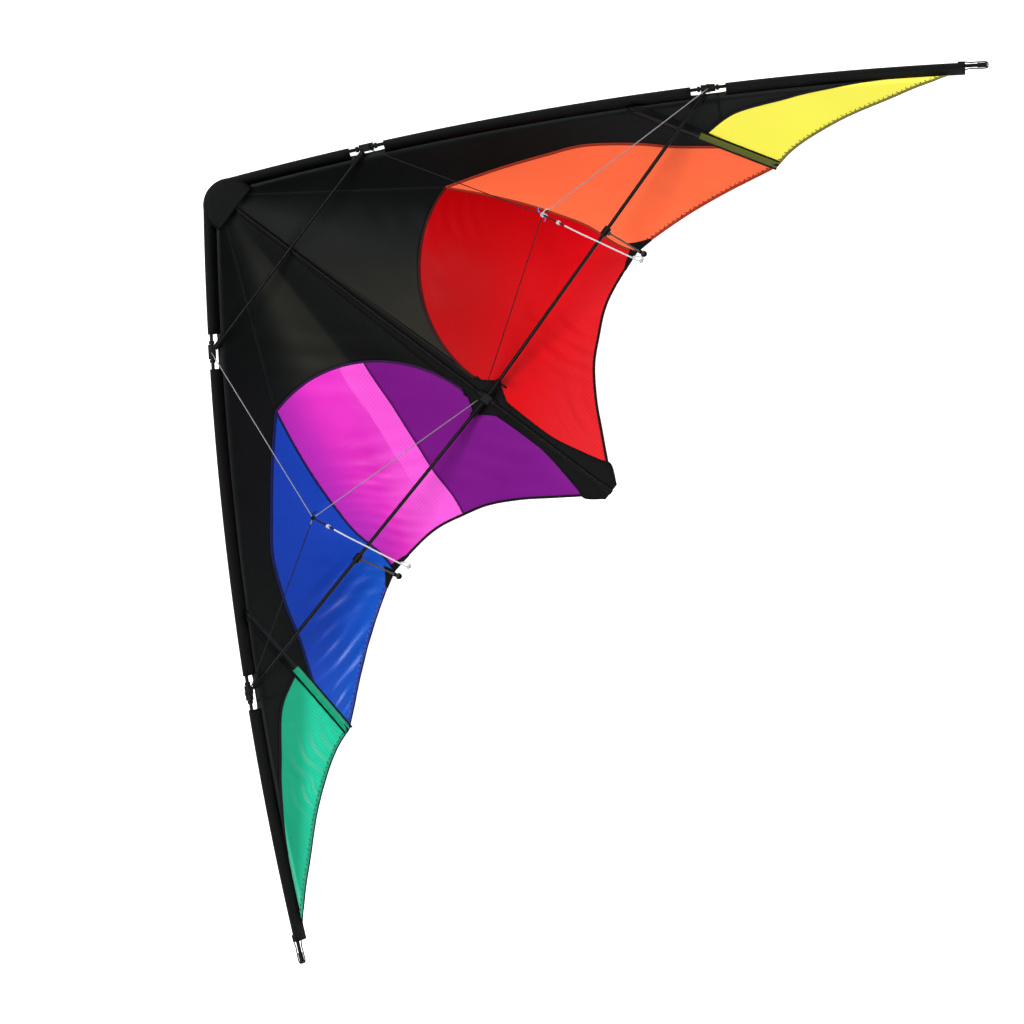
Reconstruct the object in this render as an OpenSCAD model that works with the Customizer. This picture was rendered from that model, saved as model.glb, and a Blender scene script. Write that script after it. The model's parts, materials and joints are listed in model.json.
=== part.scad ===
// Framed two-line delta kite, lying on its back: nose towards +Y, bridle side up.
// Kite coordinates: x across the wings, d from the nose towards the tail, z towards the flyer.

/* [Leading edges] */
// Length of one leading edge, both spars together
edge_len = 1276; // [1100:1:1500]
// Angle between spine and leading edge at the nose
nose_angle = 52.2; // [48:0.1:55]
// Radius of the bow in a leading edge
bow_r = 5850; // [5000:10:9000]
// Distance of a spar's nose end from the centre line
nose_x = 20; // [16:1:26]
// Diameter of spine, spreader and leading-edge rods
rod_d = 6; // [5:0.1:7]
// Diameter of the upper spreader
upper_rod_d = 5; // [4:0.1:6]
// Share of the leading edge taken by its upper spar
upper_share = 0.44; // [0.35:0.01:0.5]
// Length of the ferrule that joins the two spars
ferrule_len = 64; // [40:1:90]
// Wall of the ferrule
ferrule_wall = 1; // [0.6:0.1:1.1]
// Length of bare spar past the sleeve at a wing tip
bare_tip = 34; // [20:1:50]
// Clearance between the sewn sleeve and the ferrule inside it
sleeve_gap = 0.2; // [0.1:0.05:0.6]
// Wall of the sleeve
sleeve_wall = 0.8; // [0.5:0.1:1]

/* [Spine and spreaders] */
// Length of the spine, nose to tail
spine_len = 811; // [700:1:900]
// Distance of the lower spreaders from the nose
tee_d = 553; // [500:1:600]
// Where the upper connectors sit along the leading edge
upper_at = 247; // [200:1:300]
// Where the lower connectors sit along the leading edge
lower_at = 818; // [780:1:860]
// Level of the spine behind the spars
spine_drop = 9; // [8:0.5:12]
// Height of the upper spreader over the surface of its hubs
upper_clear = 3.5; // [3:0.5:7]
// Gap between a connector's stub and the spreader's end inside a socket
socket_gap = 5.1; // [4:0.2:9]
// Length of a soft socket or tee sleeve
socket_len = 30; // [20:1:40]
// Wall of the soft sockets
socket_wall = 2; // [1.5:0.1:3]
// Distance of a tee sleeve's hinge from the centre line
tee_hinge_x = 16; // [15:0.5:20]

/* [Standoffs] */
// Distance of a standoff from the centre line
standoff_x = 340; // [280:1:400]
// Distance of a standoff's foot from the nose
foot_d = 622; // [600:1:650]
// Depth of the foot behind the spars
foot_drop = 158; // [120:1:180]
// Diameter of a standoff rod
standoff_rod_d = 3; // [2.5:0.1:4]
// Diameter of a standoff's foot
foot_dia = 11; // [8:0.5:14]

/* [Sail] */
// Thickness of the sail's solids
cloth_t = 0.6; // [0.4:0.1:1]
// Steepness of the sail's belly along the standoff ridge
belly = 0.2; // [0.1:0.01:0.21]
// Depth of the sail behind the spars at the spine
keel_depth = 16.5; // [16:0.5:20]
// Clearance between the connector hubs and the cloth behind them
edge_clear = 1; // [0.5:0.25:2.5]
// Gap between the edge panels and their neighbours
edge_gap = 4; // [2:0.5:6]

/* [Fittings] */
// Outer diameter of a connector hub
hub_d = 13; // [12:0.2:13.4]
// Length of a connector hub along its spar
hub_len = 24; // [18:1:30]
// Length of the gap cut in the sleeve for a hub
hub_window = 58; // [50:1:70]
// Radial clearance of a rod in a fitting
fit_gap = 0.05; // [0.02:0.01:0.1]
// Diameter of a bridle line
line_d = 1.6; // [1.2:0.1:2]
// Diameter of a leader
leader_d = 2.6; // [2:0.1:3.5]

/* [Hidden] */
$fn = 64;

rod_r = rod_d / 2;
upper_rod_r = upper_rod_d / 2;
sleeve_r = rod_r + ferrule_wall + sleeve_gap + sleeve_wall;
hub_r = hub_d / 2;
upper_rise = hub_r + upper_clear;   // level of the upper spreader in front of the spars
edge_depth = hub_r + edge_clear;    // depth of the sail behind the spars at the leading edge
socket_r = rod_r + fit_gap + socket_wall;
upper_socket_r = upper_rod_r + fit_gap + socket_wall;
nose_d = -10;                       // the spars' nose ends lie just ahead of the spine's origin

// The leading edge is an arc; s runs along it from the nose end.
bow_x = nose_x - bow_r * cos(nose_angle);
bow_y = -nose_d - bow_r * sin(nose_angle);
function turn(s) = nose_angle - s / bow_r * 180 / PI;
function edge_x(s) = bow_x + bow_r * cos(turn(s));
function edge_d(s) = -(bow_y + bow_r * sin(turn(s)));

joint_at = edge_len * upper_share;
sleeve_end = edge_len - bare_tip;
upper_x = edge_x(upper_at);
upper_d = edge_d(upper_at);
lower_x = edge_x(lower_at);
lower_d = edge_d(lower_at);

// The lower spreaders run straight from the tee to the lower connectors.
spreader_turn = atan2(tee_d - lower_d, lower_x);
spreader_lean = turn(lower_at) - spreader_turn;
socket_clear = 0.05;                // keeps a socket off the hub's ring
socket_start = (hub_r + socket_r * sin(spreader_lean)) / cos(spreader_lean) + socket_clear;
stub_len = socket_start + 1.4;
spreader_len = norm([lower_x, tee_d - lower_d]) - stub_len - socket_gap;

// The standoffs lean from the spreader to the trailing edge.
fitting_r = rod_r + 3;              // the barrel of a standoff's fitting
eye_r = 3;
standoff_drop = fitting_r + eye_r;  // the standoff's pivot behind the spreader's centre line
spreader_d_at_standoff = tee_d - standoff_x * tan(spreader_turn);
standoff_lean = atan2(foot_d - spreader_d_at_standoff, foot_drop);
standoff_len = norm([foot_d - spreader_d_at_standoff, foot_drop]);

// The kite rests on its nose cap and on the two feet: this tilt brings all three down to z = 0.
cap_r = 45;
cap_y = 20.5 - cap_r;
cap_bottom = spine_drop + rod_r + 1.2 + 1.3;
foot_r = foot_dia / 2;
rest_tilt = atan2(foot_drop - cap_bottom, foot_d + 12);
nose_front_y = cap_y + cap_r;
rest_z = cap_bottom * cos(rest_tilt) + nose_front_y * sin(rest_tilt);

// The origin is midway between the nose and the wing tips.
nose_y = nose_front_y * cos(rest_tilt) - cap_bottom * sin(rest_tilt);
tip_y = -edge_d(edge_len) * cos(rest_tilt);
rest_y = -(nose_y + tip_y) / 2;

module rest() { translate([0, rest_y, rest_z]) rotate([-rest_tilt, 0, 0]) children(); }
module side(s) { mirror([s < 0 ? 1 : 0, 0, 0]) children(); }
module at(x, d, z = 0) { translate([x, -d, z]) children(); }

// ---- rods ----
module arc_tube(s0, s1, r_out, r_in = 0) {
    translate([bow_x, bow_y, 0]) rotate([0, 0, turn(s1)])
        rotate_extrude(angle = turn(s0) - turn(s1), $fn = 720)
            translate([bow_r, 0]) difference() {
                circle(r_out, $fn = 48);
                if (r_in > 0) circle(r_in, $fn = 48);
            }
}
// Places children on the leading edge at s, with +Y along the spar towards the nose.
module on_edge(s) {
    at(edge_x(s), edge_d(s)) rotate([0, 0, turn(s)]) children();
}
module along_y(len) { rotate([90, 0, 0]) translate([0, 0, -len / 2]) children(); }
module ring_y(len, r_out, r_in) {
    along_y(len) difference() {
        cylinder(h = len, r = r_out);
        translate([0, 0, -1]) cylinder(h = len + 2, r = r_in);
    }
}
// A straight rod from a to b, both in kite coordinates [x, d, z].
module rod_between(a, b, r, fn = 24) {
    v = [b[0] - a[0], a[1] - b[1], b[2] - a[2]];
    at(a[0], a[1], a[2])
        rotate([0, acos(v[2] / norm(v)), atan2(v[1], v[0])])
            cylinder(h = norm(v), r = r, $fn = fn);
}

module spine() {
    color("#202020") rest() at(0, 0, -spine_drop) rotate([90, 0, 0]) cylinder(h = spine_len, r = rod_r);
}
module spine_tail_cap() {
    cap_len = 22;
    color("#111111") rest() at(0, spine_len + 2, -spine_drop) rotate([-90, 0, 0]) difference() {
        cylinder(h = cap_len, r = rod_r + 1.6);
        translate([0, 0, 2]) cylinder(h = cap_len, r = rod_r + fit_gap);
    }
}

// ---- nose ----
module cap_outline(r) {
    intersection() {
        translate([0, cap_y]) circle(r, $fn = 96);
        translate([-cap_r, -34]) square([2 * cap_r, 80]);
    }
}
module nose_cap() {
    webbing = 1.3;
    top = sleeve_r + 1;
    color("#151515") rest() {
        translate([0, 0, -cap_bottom]) linear_extrude(webbing) cap_outline(cap_r);
        translate([0, 0, top]) linear_extrude(webbing) cap_outline(cap_r);
        translate([0, 0, -cap_bottom]) linear_extrude(cap_bottom + top + webbing) difference() {
            translate([0, cap_y]) circle(cap_r, $fn = 96);
            translate([0, cap_y]) circle(cap_r - webbing, $fn = 96);
            translate([-cap_r, -100]) square([2 * cap_r, 100 + 5]);
        }
    }
}

// ---- centre tee ----
tee_block = 15;
module centre_tee() {
    barrel_r = rod_r + 3.4;
    barrel_len = 34;
    stub_r = rod_r - 0.6;
    color("#181818") rest() at(0, tee_d) difference() {
        union() {
            translate([0, 0, -spine_drop]) along_y(barrel_len) cylinder(h = barrel_len, r = barrel_r);
            translate([-tee_block / 2, -tee_block / 2, -spine_drop])
                cube([tee_block, tee_block, spine_drop + socket_r]);
            for (s = [-1, 1]) side(s) rotate([0, 0, spreader_turn]) rotate([0, 90, 0])
                cylinder(h = tee_hinge_x - 5, r = stub_r);
        }
        translate([0, 0, -spine_drop]) along_y(barrel_len + 2) cylinder(h = barrel_len + 2, r = rod_r + fit_gap);
    }
}
module tee_sleeve(s) {
    inner_end = (tee_block / 2 + socket_r * sin(abs(spreader_turn))) / cos(spreader_turn) + 0.35;
    color("#101010") rest() side(s) at(0, tee_d) rotate([0, 0, spreader_turn]) rotate([0, 90, 0]) difference() {
        translate([0, 0, inner_end]) cylinder(h = socket_len, r = socket_r);
        cylinder(h = inner_end + socket_len + 1, r = rod_r + fit_gap);
    }
}

// ---- leading edges ----
module upper_spar(s) {
    color("#262626") rest() side(s) arc_tube(1, joint_at - 0.1, rod_r);
}
module lower_spar(s) {
    color("#262626") rest() side(s) arc_tube(joint_at + 0.1, edge_len, rod_r);
}
module ferrule(s) {
    color("#0c0c0c") rest() side(s)
        arc_tube(joint_at - ferrule_len / 2, joint_at + ferrule_len / 2, rod_r + ferrule_wall, rod_r + fit_gap);
}
module edge_sleeve(s) {
    starts = [30, upper_at + hub_window / 2, lower_at + hub_window / 2];
    ends = [upper_at - hub_window / 2, lower_at - hub_window / 2, sleeve_end];
    color("#101010") rest() side(s)
        for (i = [0:2]) arc_tube(starts[i], ends[i], sleeve_r, sleeve_r - sleeve_wall);
}
module hub_bore() { along_y(hub_len + 2) cylinder(h = hub_len + 2, r = rod_r + fit_gap); }
module hub_ring() {
    difference() {
        along_y(hub_len) cylinder(h = hub_len, r = hub_r);
        hub_bore();
    }
}
module upper_hub(s) {
    post_r = 4;
    color("#1a1a1a") rest() side(s) {
        on_edge(upper_at) hub_ring();
        difference() {
            at(upper_x, upper_d) cylinder(h = upper_rise + post_r, r = post_r);
            on_edge(upper_at) hub_bore();
        }
        at(upper_x, upper_d, upper_rise) rotate([0, -90, 0]) cylinder(h = 8, r = upper_rod_r - 0.5);
    }
}
module upper_socket(s) {
    color("#0e0e0e") rest() side(s) at(upper_x - 8, upper_d, upper_rise) rotate([0, -90, 0]) difference() {
        cylinder(h = socket_len, r = upper_socket_r);
        translate([0, 0, -1]) cylinder(h = socket_len + 2, r = upper_rod_r + fit_gap);
    }
}
module lower_hub(s) {
    color("#1a1a1a") rest() side(s) {
        on_edge(lower_at) hub_ring();
        difference() {
            at(lower_x, lower_d) rotate([0, 0, spreader_turn]) rotate([0, -90, 0])
                cylinder(h = stub_len, r = rod_r - 0.6);
            on_edge(lower_at) hub_bore();
        }
    }
}
module lower_socket(s) {
    color("#0e0e0e") rest() side(s) at(lower_x, lower_d) rotate([0, 0, spreader_turn]) rotate([0, -90, 0])
        difference() {
            translate([0, 0, socket_start]) cylinder(h = socket_len, r = socket_r);
            translate([0, 0, socket_start - 1]) cylinder(h = socket_len + 2, r = rod_r + fit_gap);
        }
}
module stop_clips(s) {
    clip_len = 5;
    clip_off = hub_len / 2 + clip_len / 2 + 1;
    color("#050505") rest() side(s)
        for (p = [upper_at, lower_at], k = [-1, 1])
            on_edge(p + k * clip_off) ring_y(clip_len, rod_r + 1.8, rod_r + fit_gap);
}
module tip_nock(s) {
    nock_len = 16;
    color("#0a0a0a") rest() side(s) on_edge(edge_len + 1) rotate([90, 0, 0]) translate([0, 0, -nock_len + 1])
        difference() {
            cylinder(h = nock_len, r = rod_r + 1);
            translate([0, 0, -1]) cylinder(h = nock_len - 0.8, r = rod_r + fit_gap);
        }
}

// ---- spreaders and standoffs ----
module lower_spreader(s) {
    color("#222222") rest() side(s) at(0, tee_d) rotate([0, 0, spreader_turn]) rotate([0, 90, 0])
        translate([0, 0, tee_hinge_x - 2]) cylinder(h = spreader_len - tee_hinge_x + 2, r = rod_r);
}
module upper_spreader() {
    color("#222222") rest() at(0, upper_d, upper_rise) rotate([0, 90, 0])
        cylinder(h = 2 * (upper_x - 14), r = upper_rod_r, center = true);
}
// Places children on a spreader at the standoff, with -Z along the standoff.
module at_standoff(s) {
    side(s) at(standoff_x, spreader_d_at_standoff) rotate([-standoff_lean, 0, 0]) children();
}
module standoff_fitting(s) {
    grip = 16;
    lug_t = 3;
    slot_t = standoff_rod_d + 1.2;
    pin_r = 1.5;
    color("#161616") rest() at_standoff(s) {
        difference() {
            rotate([0, 90, 0]) cylinder(h = grip, r = fitting_r, center = true);
            rotate([standoff_lean, 0, 0]) rotate([0, 0, spreader_turn])
                rotate([0, 90, 0]) cylinder(h = grip + 4, r = rod_r + fit_gap, center = true);
        }
        for (k = [-1, 1]) translate([0, k * (slot_t + lug_t) / 2, -standoff_drop]) difference() {
            translate([0, lug_t / 2, 0]) union() {
                rotate([90, 0, 0]) cylinder(h = lug_t, r = 3.4);
                translate([-3.4, -lug_t, 0]) cube([6.8, lug_t, standoff_drop - rod_r - 1]);
            }
        }
        translate([0, 0, -standoff_drop]) rotate([90, 0, 0])
            cylinder(h = slot_t + 2 * lug_t, r = pin_r, center = true);
    }
}
module standoff(s) {
    eye_t = standoff_rod_d + 0.4;       // a little proud of the rod, and 0.4 clear of each lug
    color("#1c1c1c") rest() at_standoff(s) translate([0, 0, -standoff_drop]) difference() {
        union() {
            rotate([90, 0, 0]) cylinder(h = eye_t, r = eye_r, center = true);
            translate([0, 0, -(standoff_len - standoff_drop)])
                cylinder(h = standoff_len - standoff_drop - 2, r = standoff_rod_d / 2);
        }
        rotate([90, 0, 0]) cylinder(h = eye_t + 2, r = 1.5 + fit_gap, center = true);
    }
}
module standoff_foot(s) {
    foot_len = 18;
    color("#080808") intersection() {
        rest() at_standoff(s) translate([0, 0, -standoff_len]) difference() {
            union() {
                sphere(foot_r);
                cylinder(h = foot_len, r = foot_r - 2);
            }
            cylinder(h = foot_len + 1, r = standoff_rod_d / 2 + fit_gap);
        }
        translate([-1000, -1000, 0]) cube([2000, 2000, 400]);
    }
}

// ---- sail ----
function mix(a, b, t) = a + (b - a) * t;
function curve(p0, p1, p2, p3, t) =
    0.5 * (2 * p1 + (p2 - p0) * t + (2 * p0 - 5 * p1 + 4 * p2 - p3) * t * t
           + (3 * p1 - p0 - 3 * p2 + p3) * t * t * t);
// A smooth curve through the points of a list, u from 0 to 1.
function through(p, u) =
    let (n = len(p) - 1, f = min(u * n, n - 0.0001), i = floor(f), t = f - i)
    curve(p[max(i - 1, 0)], p[i], p[i + 1], p[min(i + 2, n)], t);
// How far behind the spars the cloth lies at [x, d].
function sail_depth(p) =
    let (r = norm([p[0], p[1]]),
         edge = nose_angle - r / (2 * bow_r) * 180 / PI,
         t = min(1, max(0, atan2(p[0], p[1]) / edge)))
    mix(keel_depth, edge_depth, t) + r * belly * sin(180 * pow(t, 1.25));
function cloth_point(p, down) = [p[0], -p[1], -sail_depth(p) - down];

// A sheet of cloth from a grid of [x, d] points, rows of equal length.
module sheet(grid) {
    rows = len(grid);
    cols = len(grid[0]);
    count = rows * cols;
    points = [for (down = [0, cloth_t]) for (row = grid) for (p = row) cloth_point(p, down)];
    top = [for (i = [0:rows - 2]) for (j = [0:cols - 2]) let (a = i * cols + j)
           each [[a, a + cols, a + 1], [a + 1, a + cols, a + cols + 1]]];
    bottom = [for (t = top) [t[0] + count, t[2] + count, t[1] + count]];
    rim = concat([for (j = [0:cols - 1]) j],
                 [for (i = [1:rows - 1]) i * cols + cols - 1],
                 [for (j = [cols - 2:-1:0]) (rows - 1) * cols + j],
                 [for (i = [rows - 2:-1:1]) i * cols]);
    walls = [for (k = [0:len(rim) - 1]) let (a = rim[k], b = rim[(k + 1) % len(rim)])
             each [[a, b, b + count], [a, b + count, a + count]]];
    polyhedron(points, concat(top, bottom, walls));
}
// The grid between two curves, each given as a list of points and the part of it to use.
function between(p, pu, q, qu, rows, cols, inset = 0.004) =
    [for (i = [0:rows]) let (u = mix(inset, 1 - inset, i / rows),
                             a = through(p, mix(pu[0], pu[1], u)),
                             b = through(q, mix(qu[0], qu[1], u)))
     [for (j = [0:cols]) mix(a, b, mix(inset, 1 - inset, j / cols))]];

// A seam from a to b; each row says how far across and how far along its points lie between the two.
function shaped(a, b, rows) =
    concat([a], [for (p = rows) [mix(a[0], b[0], p[0]), mix(a[1], b[1], p[1])]], [b]);

// Seams of a half sail, as [x, d] points.
corner = [234, 290];
seam_d = tee_d - 38;                // where the seam round the centre panel meets the keel
tail = [37, spine_len - 32];
te_ridge = [standoff_x - 5, foot_d - 12];
batten_seam = [[525, 452], [594, 709]];
tip_end = [edge_x(sleeve_end), edge_d(sleeve_end)];
inner_seam = [for (k = [0:6]) [corner[0] - (corner[0] - 14) * cos(15 * k),
                               seam_d - (seam_d - corner[1]) * sin(15 * k)]];
ridge_seam = shaped(corner, te_ridge, [[0.297, 0.1906], [0.5545, 0.3844], [0.7525, 0.5719],
                     [0.8713, 0.7188], [0.9109, 0.8906]]);
outer_seam = [corner, [306, 337], [377, 389], [430, 432], [482, 498], [515, 550], [552, 610]];
tip_seam = shaped([569, 580], tip_end - [27.5, 15.3], [[0.1735, 0.06299], [0.3817, 0.2559],
                     [0.4921, 0.3622], [0.6972, 0.5906], [0.8549, 0.7953]]);
inner_hem = shaped(tail, te_ridge, [[0.1107, 0.2308], [0.2282, 0.4556], [0.3691, 0.6627],
                     [0.5134, 0.7811], [0.6376, 0.8639], [0.7651, 0.929]]);
keel_side = shaped([14, seam_d], tail, [[-0.087, 0.322], [-0.0435, 0.5492], [0.3478, 0.7765]]);
outer_hem = shaped(te_ridge, [592, 709], [[0.1284, 0.08081], [0.3385, 0.2525], [0.5058, 0.4141],
                     [0.6965, 0.6263], [0.9339, 0.9192]]);
tip_hem = shaped([596, 709], tip_end - [21.5, 7.3], [[0.09797, 0.01504], [0.2365, 0.09774],
                     [0.4493, 0.2932], [0.6757, 0.5714], [0.8243, 0.7519]]);
centre_start = 0.13;                // the sail starts just outside the nose cap
edge_start = 46;
edge_line = [for (k = [0:8]) let (s = edge_start + k * (sleeve_end - edge_start - 6) / 8) [edge_x(s), edge_d(s)]];
// The edge panel's inner line follows the seams of its neighbours, a little towards the leading edge.
panel_line = [for (p = concat([corner * 0.15, corner * 0.56], [for (i = [0:5]) outer_seam[i]], tip_seam))
              p + [edge_gap, -edge_gap] * cos(45)];
inner_split = [0.5, 0.56];          // where the purple and magenta panels meet, on the seam and on the hem

module centre_panel(s) {
    color("#1b1f1c") rest() side(s)
        sheet([for (i = [0:6]) let (u = mix(centre_start, 0.996, i / 6))
               [for (j = [0:8]) let (v = mix(0.02, 0.994, j / 8)) through(inner_seam, v) * u]]);
}
// The inner panels follow the keel strip on one side and bulge outwards with the ridge seam on the other.
// seam and hem say which part of the half sail this is.
module inner_panel(s, c, seam, hem) {
    rows = 8;
    cols = 7;
    flat = between(inner_seam, seam, inner_hem, hem, rows, cols);
    color(c) rest() side(s)
        sheet([for (i = [0:rows]) let (u = mix(seam[0], seam[1], i / rows))
               [for (j = [0:cols]) let (v = j / cols)
                flat[i][j] + pow(u, 2) * (through(ridge_seam, v) - mix(corner, te_ridge, v))
                + pow(1 - u, 2) * (through(keel_side, v) - mix(keel_side[0], inner_hem[0], v))]]);
}
module outer_panel(s, c) {
    outline = concat(outer_seam, [[594, 709]]);
    color(c) rest() side(s) sheet(between(ridge_seam, [0.03, 1], outline, [0.03, 1], 9, 6, 0.006));
}
module edge_panel(s) {
    color("#161616") rest() side(s) sheet(between(edge_line, [0, 1], panel_line, [0, 1], 16, 4));
}
module tip_panel(s, c) {
    color(c) rest() side(s) sheet(between(tip_seam, [0, 1], tip_hem, [0, 1], 10, 4, 0.012));
}
module keel_reinforcement() {
    seam = shaped([14, seam_d + 3], [tail[0] - 4, tail[1]], [[-0.158, 0.4674], [0.3158, 0.7739]]);
    half = concat(seam, [[15, spine_len + 2]]);
    color("#101010") rest() translate([0, 0, -keel_depth - cloth_t])
        linear_extrude(cloth_t) polygon(concat([for (p = half) [p[0], -p[1]]],
                                               [for (k = [len(half) - 1:-1:0]) [-half[k][0], -half[k][1]]]));
}
batten_front = 5.8;                 // the batten's centre line in front of the cloth
function on_cloth(p) = [p[0], p[1], -sail_depth(p) + batten_front];
module batten(s) {
    color("#1a1a1a") rest() side(s)
        rod_between(on_cloth(batten_seam[0]), on_cloth(batten_seam[1]), 1.4);
}
module batten_caps(s) {
    cap_len = 14;
    ends = [on_cloth(batten_seam[0]), on_cloth(batten_seam[1])];
    run = (ends[1] - ends[0]) / norm(ends[1] - ends[0]);
    color("#0a0a0a") rest() side(s) for (k = [0, 1]) difference() {
        rod_between(ends[k] - run * (k == 0 ? 3 : cap_len - 3), ends[k] + run * (k == 0 ? cap_len - 3 : 3), 2.3);
        rod_between(ends[0], ends[1], 1.4 + fit_gap);
    }
}

// ---- bridles ----
tow = [310, 439, 200];
tee_end = [10, tee_d - 10, socket_r + 3];
module bridle(s, a, b) { rest() side(s) rod_between(a, b, line_d / 2, 8); }
module outer_bridle(s) {
    color("#e8e8e8") {
        bridle(s, [upper_x, upper_d, upper_rise + 6], tow);
        bridle(s, tow, [lower_x, lower_d, hub_r + 2]);
    }
}
module inner_bridle(s) { color("#e8e8e8") bridle(s, tee_end, tow); }
module tow_knot(s) {
    color("#f0f0f0") rest() side(s) at(tow[0], tow[1], tow[2]) sphere(4, $fn = 24);
}
// Points of a leader from its knot to its loop, in kite coordinates; both leaders lean the same way.
leader_route = [[0, 0, 0], [7, 31, 22], [14, 62, 43], [22, 93, 63], [30, 125, 85], [37, 152, 103],
                [39, 162, 109], [43, 168, 116], [48, 168, 120], [47, 162, 118], [40, 154, 109]];
leader_rings = 36;
leader_sides = 8;
module leader(s) {
    start = [s * tow[0], tow[1], tow[2]];
    centre = [for (k = [0:leader_rings]) start + through(leader_route, k / leader_rings)];
    path = [for (p = centre) [p[0], -p[1], p[2]]];
    function heading(k) = let (v = path[min(k + 1, leader_rings)] - path[max(k - 1, 0)]) v / norm(v);
    points = [for (k = [0:leader_rings]) let (t = heading(k), a = cross(t, [1, 0, 0]) / norm(cross(t, [1, 0, 0])),
                                               b = cross(t, a))
              for (j = [0:leader_sides - 1]) let (w = 360 * j / leader_sides)
              path[k] + (a * cos(w) + b * sin(w)) * leader_d / 2];
    n = leader_sides;
    skin = [for (k = [0:leader_rings - 1]) for (j = [0:n - 1]) let (a = k * n + j, b = k * n + (j + 1) % n)
            each [[a, a + n, b], [b, a + n, b + n]]];
    ends = [[for (j = [0:n - 1]) j], [for (j = [n - 1:-1:0]) leader_rings * n + j]];
    color("#f4f4f4") rest() polyhedron(points, concat(skin, ends));
}

spine();
spine_tail_cap();
nose_cap();
centre_tee();
tee_sleeve(-1);  // left_tee_sleeve
tee_sleeve(1);  // right_tee_sleeve
keel_reinforcement();
centre_panel(-1);  // left_centre_panel
centre_panel(1);  // right_centre_panel
inner_panel(-1, "#7d1e8c", [0, inner_split[0]], [0, inner_split[1]]);  // purple_panel
inner_panel(-1, "#e646d2", [inner_split[0], 1], [inner_split[1], 1]);  // magenta_panel
inner_panel(1, "#e00018", [0, 1], [0, 1]);  // red_panel
outer_panel(-1, "#0a41b4");  // blue_panel
outer_panel(1, "#ff6e46");  // orange_panel
upper_spar(-1);  // left_upper_spar
lower_spar(-1);  // left_lower_spar
ferrule(-1);  // left_ferrule
edge_sleeve(-1);  // left_edge_sleeve
edge_panel(-1);  // left_edge_panel
tip_panel(-1, "#00a57d");  // green_panel
upper_hub(-1);  // left_upper_hub
upper_socket(-1);  // left_upper_socket
lower_hub(-1);  // left_lower_hub
lower_socket(-1);  // left_lower_socket
stop_clips(-1);  // left_stop_clips
batten(-1);  // left_batten
batten_caps(-1);  // left_batten_caps
tip_nock(-1);  // left_tip_nock
upper_spar(1);  // right_upper_spar
lower_spar(1);  // right_lower_spar
ferrule(1);  // right_ferrule
edge_sleeve(1);  // right_edge_sleeve
edge_panel(1);  // right_edge_panel
tip_panel(1, "#f5f046");  // yellow_panel
upper_hub(1);  // right_upper_hub
upper_socket(1);  // right_upper_socket
lower_hub(1);  // right_lower_hub
lower_socket(1);  // right_lower_socket
stop_clips(1);  // right_stop_clips
batten(1);  // right_batten
batten_caps(1);  // right_batten_caps
tip_nock(1);  // right_tip_nock
lower_spreader(-1);  // left_lower_spreader
standoff_fitting(-1);  // left_standoff_fitting
lower_spreader(1);  // right_lower_spreader
standoff_fitting(1);  // right_standoff_fitting
standoff(-1);  // left_standoff
standoff_foot(-1);  // left_standoff_foot
standoff(1);  // right_standoff
standoff_foot(1);  // right_standoff_foot
upper_spreader();
outer_bridle(-1);  // left_outer_bridle
inner_bridle(-1);  // left_inner_bridle
tow_knot(-1);  // left_tow_knot
leader(-1);  // left_leader
outer_bridle(1);  // right_outer_bridle
inner_bridle(1);  // right_inner_bridle
tow_knot(1);  // right_tow_knot
leader(1);  // right_leader
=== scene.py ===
"""Looks of a framed two-line delta kite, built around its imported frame.

Kite coordinates are used throughout: x across the wings, d from the nose towards the tail and z towards
the flyer, all in metres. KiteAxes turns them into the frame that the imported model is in.
"""

import json
import logging
import math
from collections.abc import Callable
from dataclasses import dataclass, field
from enum import Enum

import bmesh
import bpy
import numpy as np
from mathutils import Euler, Matrix, Vector

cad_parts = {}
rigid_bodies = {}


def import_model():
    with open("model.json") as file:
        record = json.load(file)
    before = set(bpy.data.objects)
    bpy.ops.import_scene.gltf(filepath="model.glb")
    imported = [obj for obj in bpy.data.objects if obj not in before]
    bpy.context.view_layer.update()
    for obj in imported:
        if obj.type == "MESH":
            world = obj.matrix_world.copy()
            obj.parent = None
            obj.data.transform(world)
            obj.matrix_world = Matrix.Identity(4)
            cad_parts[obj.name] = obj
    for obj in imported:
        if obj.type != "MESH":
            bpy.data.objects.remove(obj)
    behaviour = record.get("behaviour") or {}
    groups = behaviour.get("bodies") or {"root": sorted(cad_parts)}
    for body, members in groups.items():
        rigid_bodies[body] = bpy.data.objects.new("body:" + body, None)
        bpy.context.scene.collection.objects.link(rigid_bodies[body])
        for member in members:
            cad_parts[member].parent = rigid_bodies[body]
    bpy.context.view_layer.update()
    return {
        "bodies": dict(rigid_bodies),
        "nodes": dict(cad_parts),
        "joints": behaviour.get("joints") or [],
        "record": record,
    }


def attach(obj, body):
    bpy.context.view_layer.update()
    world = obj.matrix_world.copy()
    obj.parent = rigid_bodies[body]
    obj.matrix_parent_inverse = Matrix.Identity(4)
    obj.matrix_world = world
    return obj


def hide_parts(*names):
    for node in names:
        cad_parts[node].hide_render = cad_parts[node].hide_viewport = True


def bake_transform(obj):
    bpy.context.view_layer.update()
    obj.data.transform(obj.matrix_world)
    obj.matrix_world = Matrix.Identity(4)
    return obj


LOG = logging.getLogger("kite")
Outline = list[tuple[float, float]]
Edge = Callable[[np.ndarray], np.ndarray]


class Side(Enum):
    """A wing, as the flyer sees it."""

    LEFT = -1
    RIGHT = 1

    @property
    def word(self) -> str:
        """The side's word in the names of nodes."""
        return self.name.lower()

    @property
    def wing(self) -> str:
        """The name of the wing's body."""
        return f"{self.word}_wing"


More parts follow.
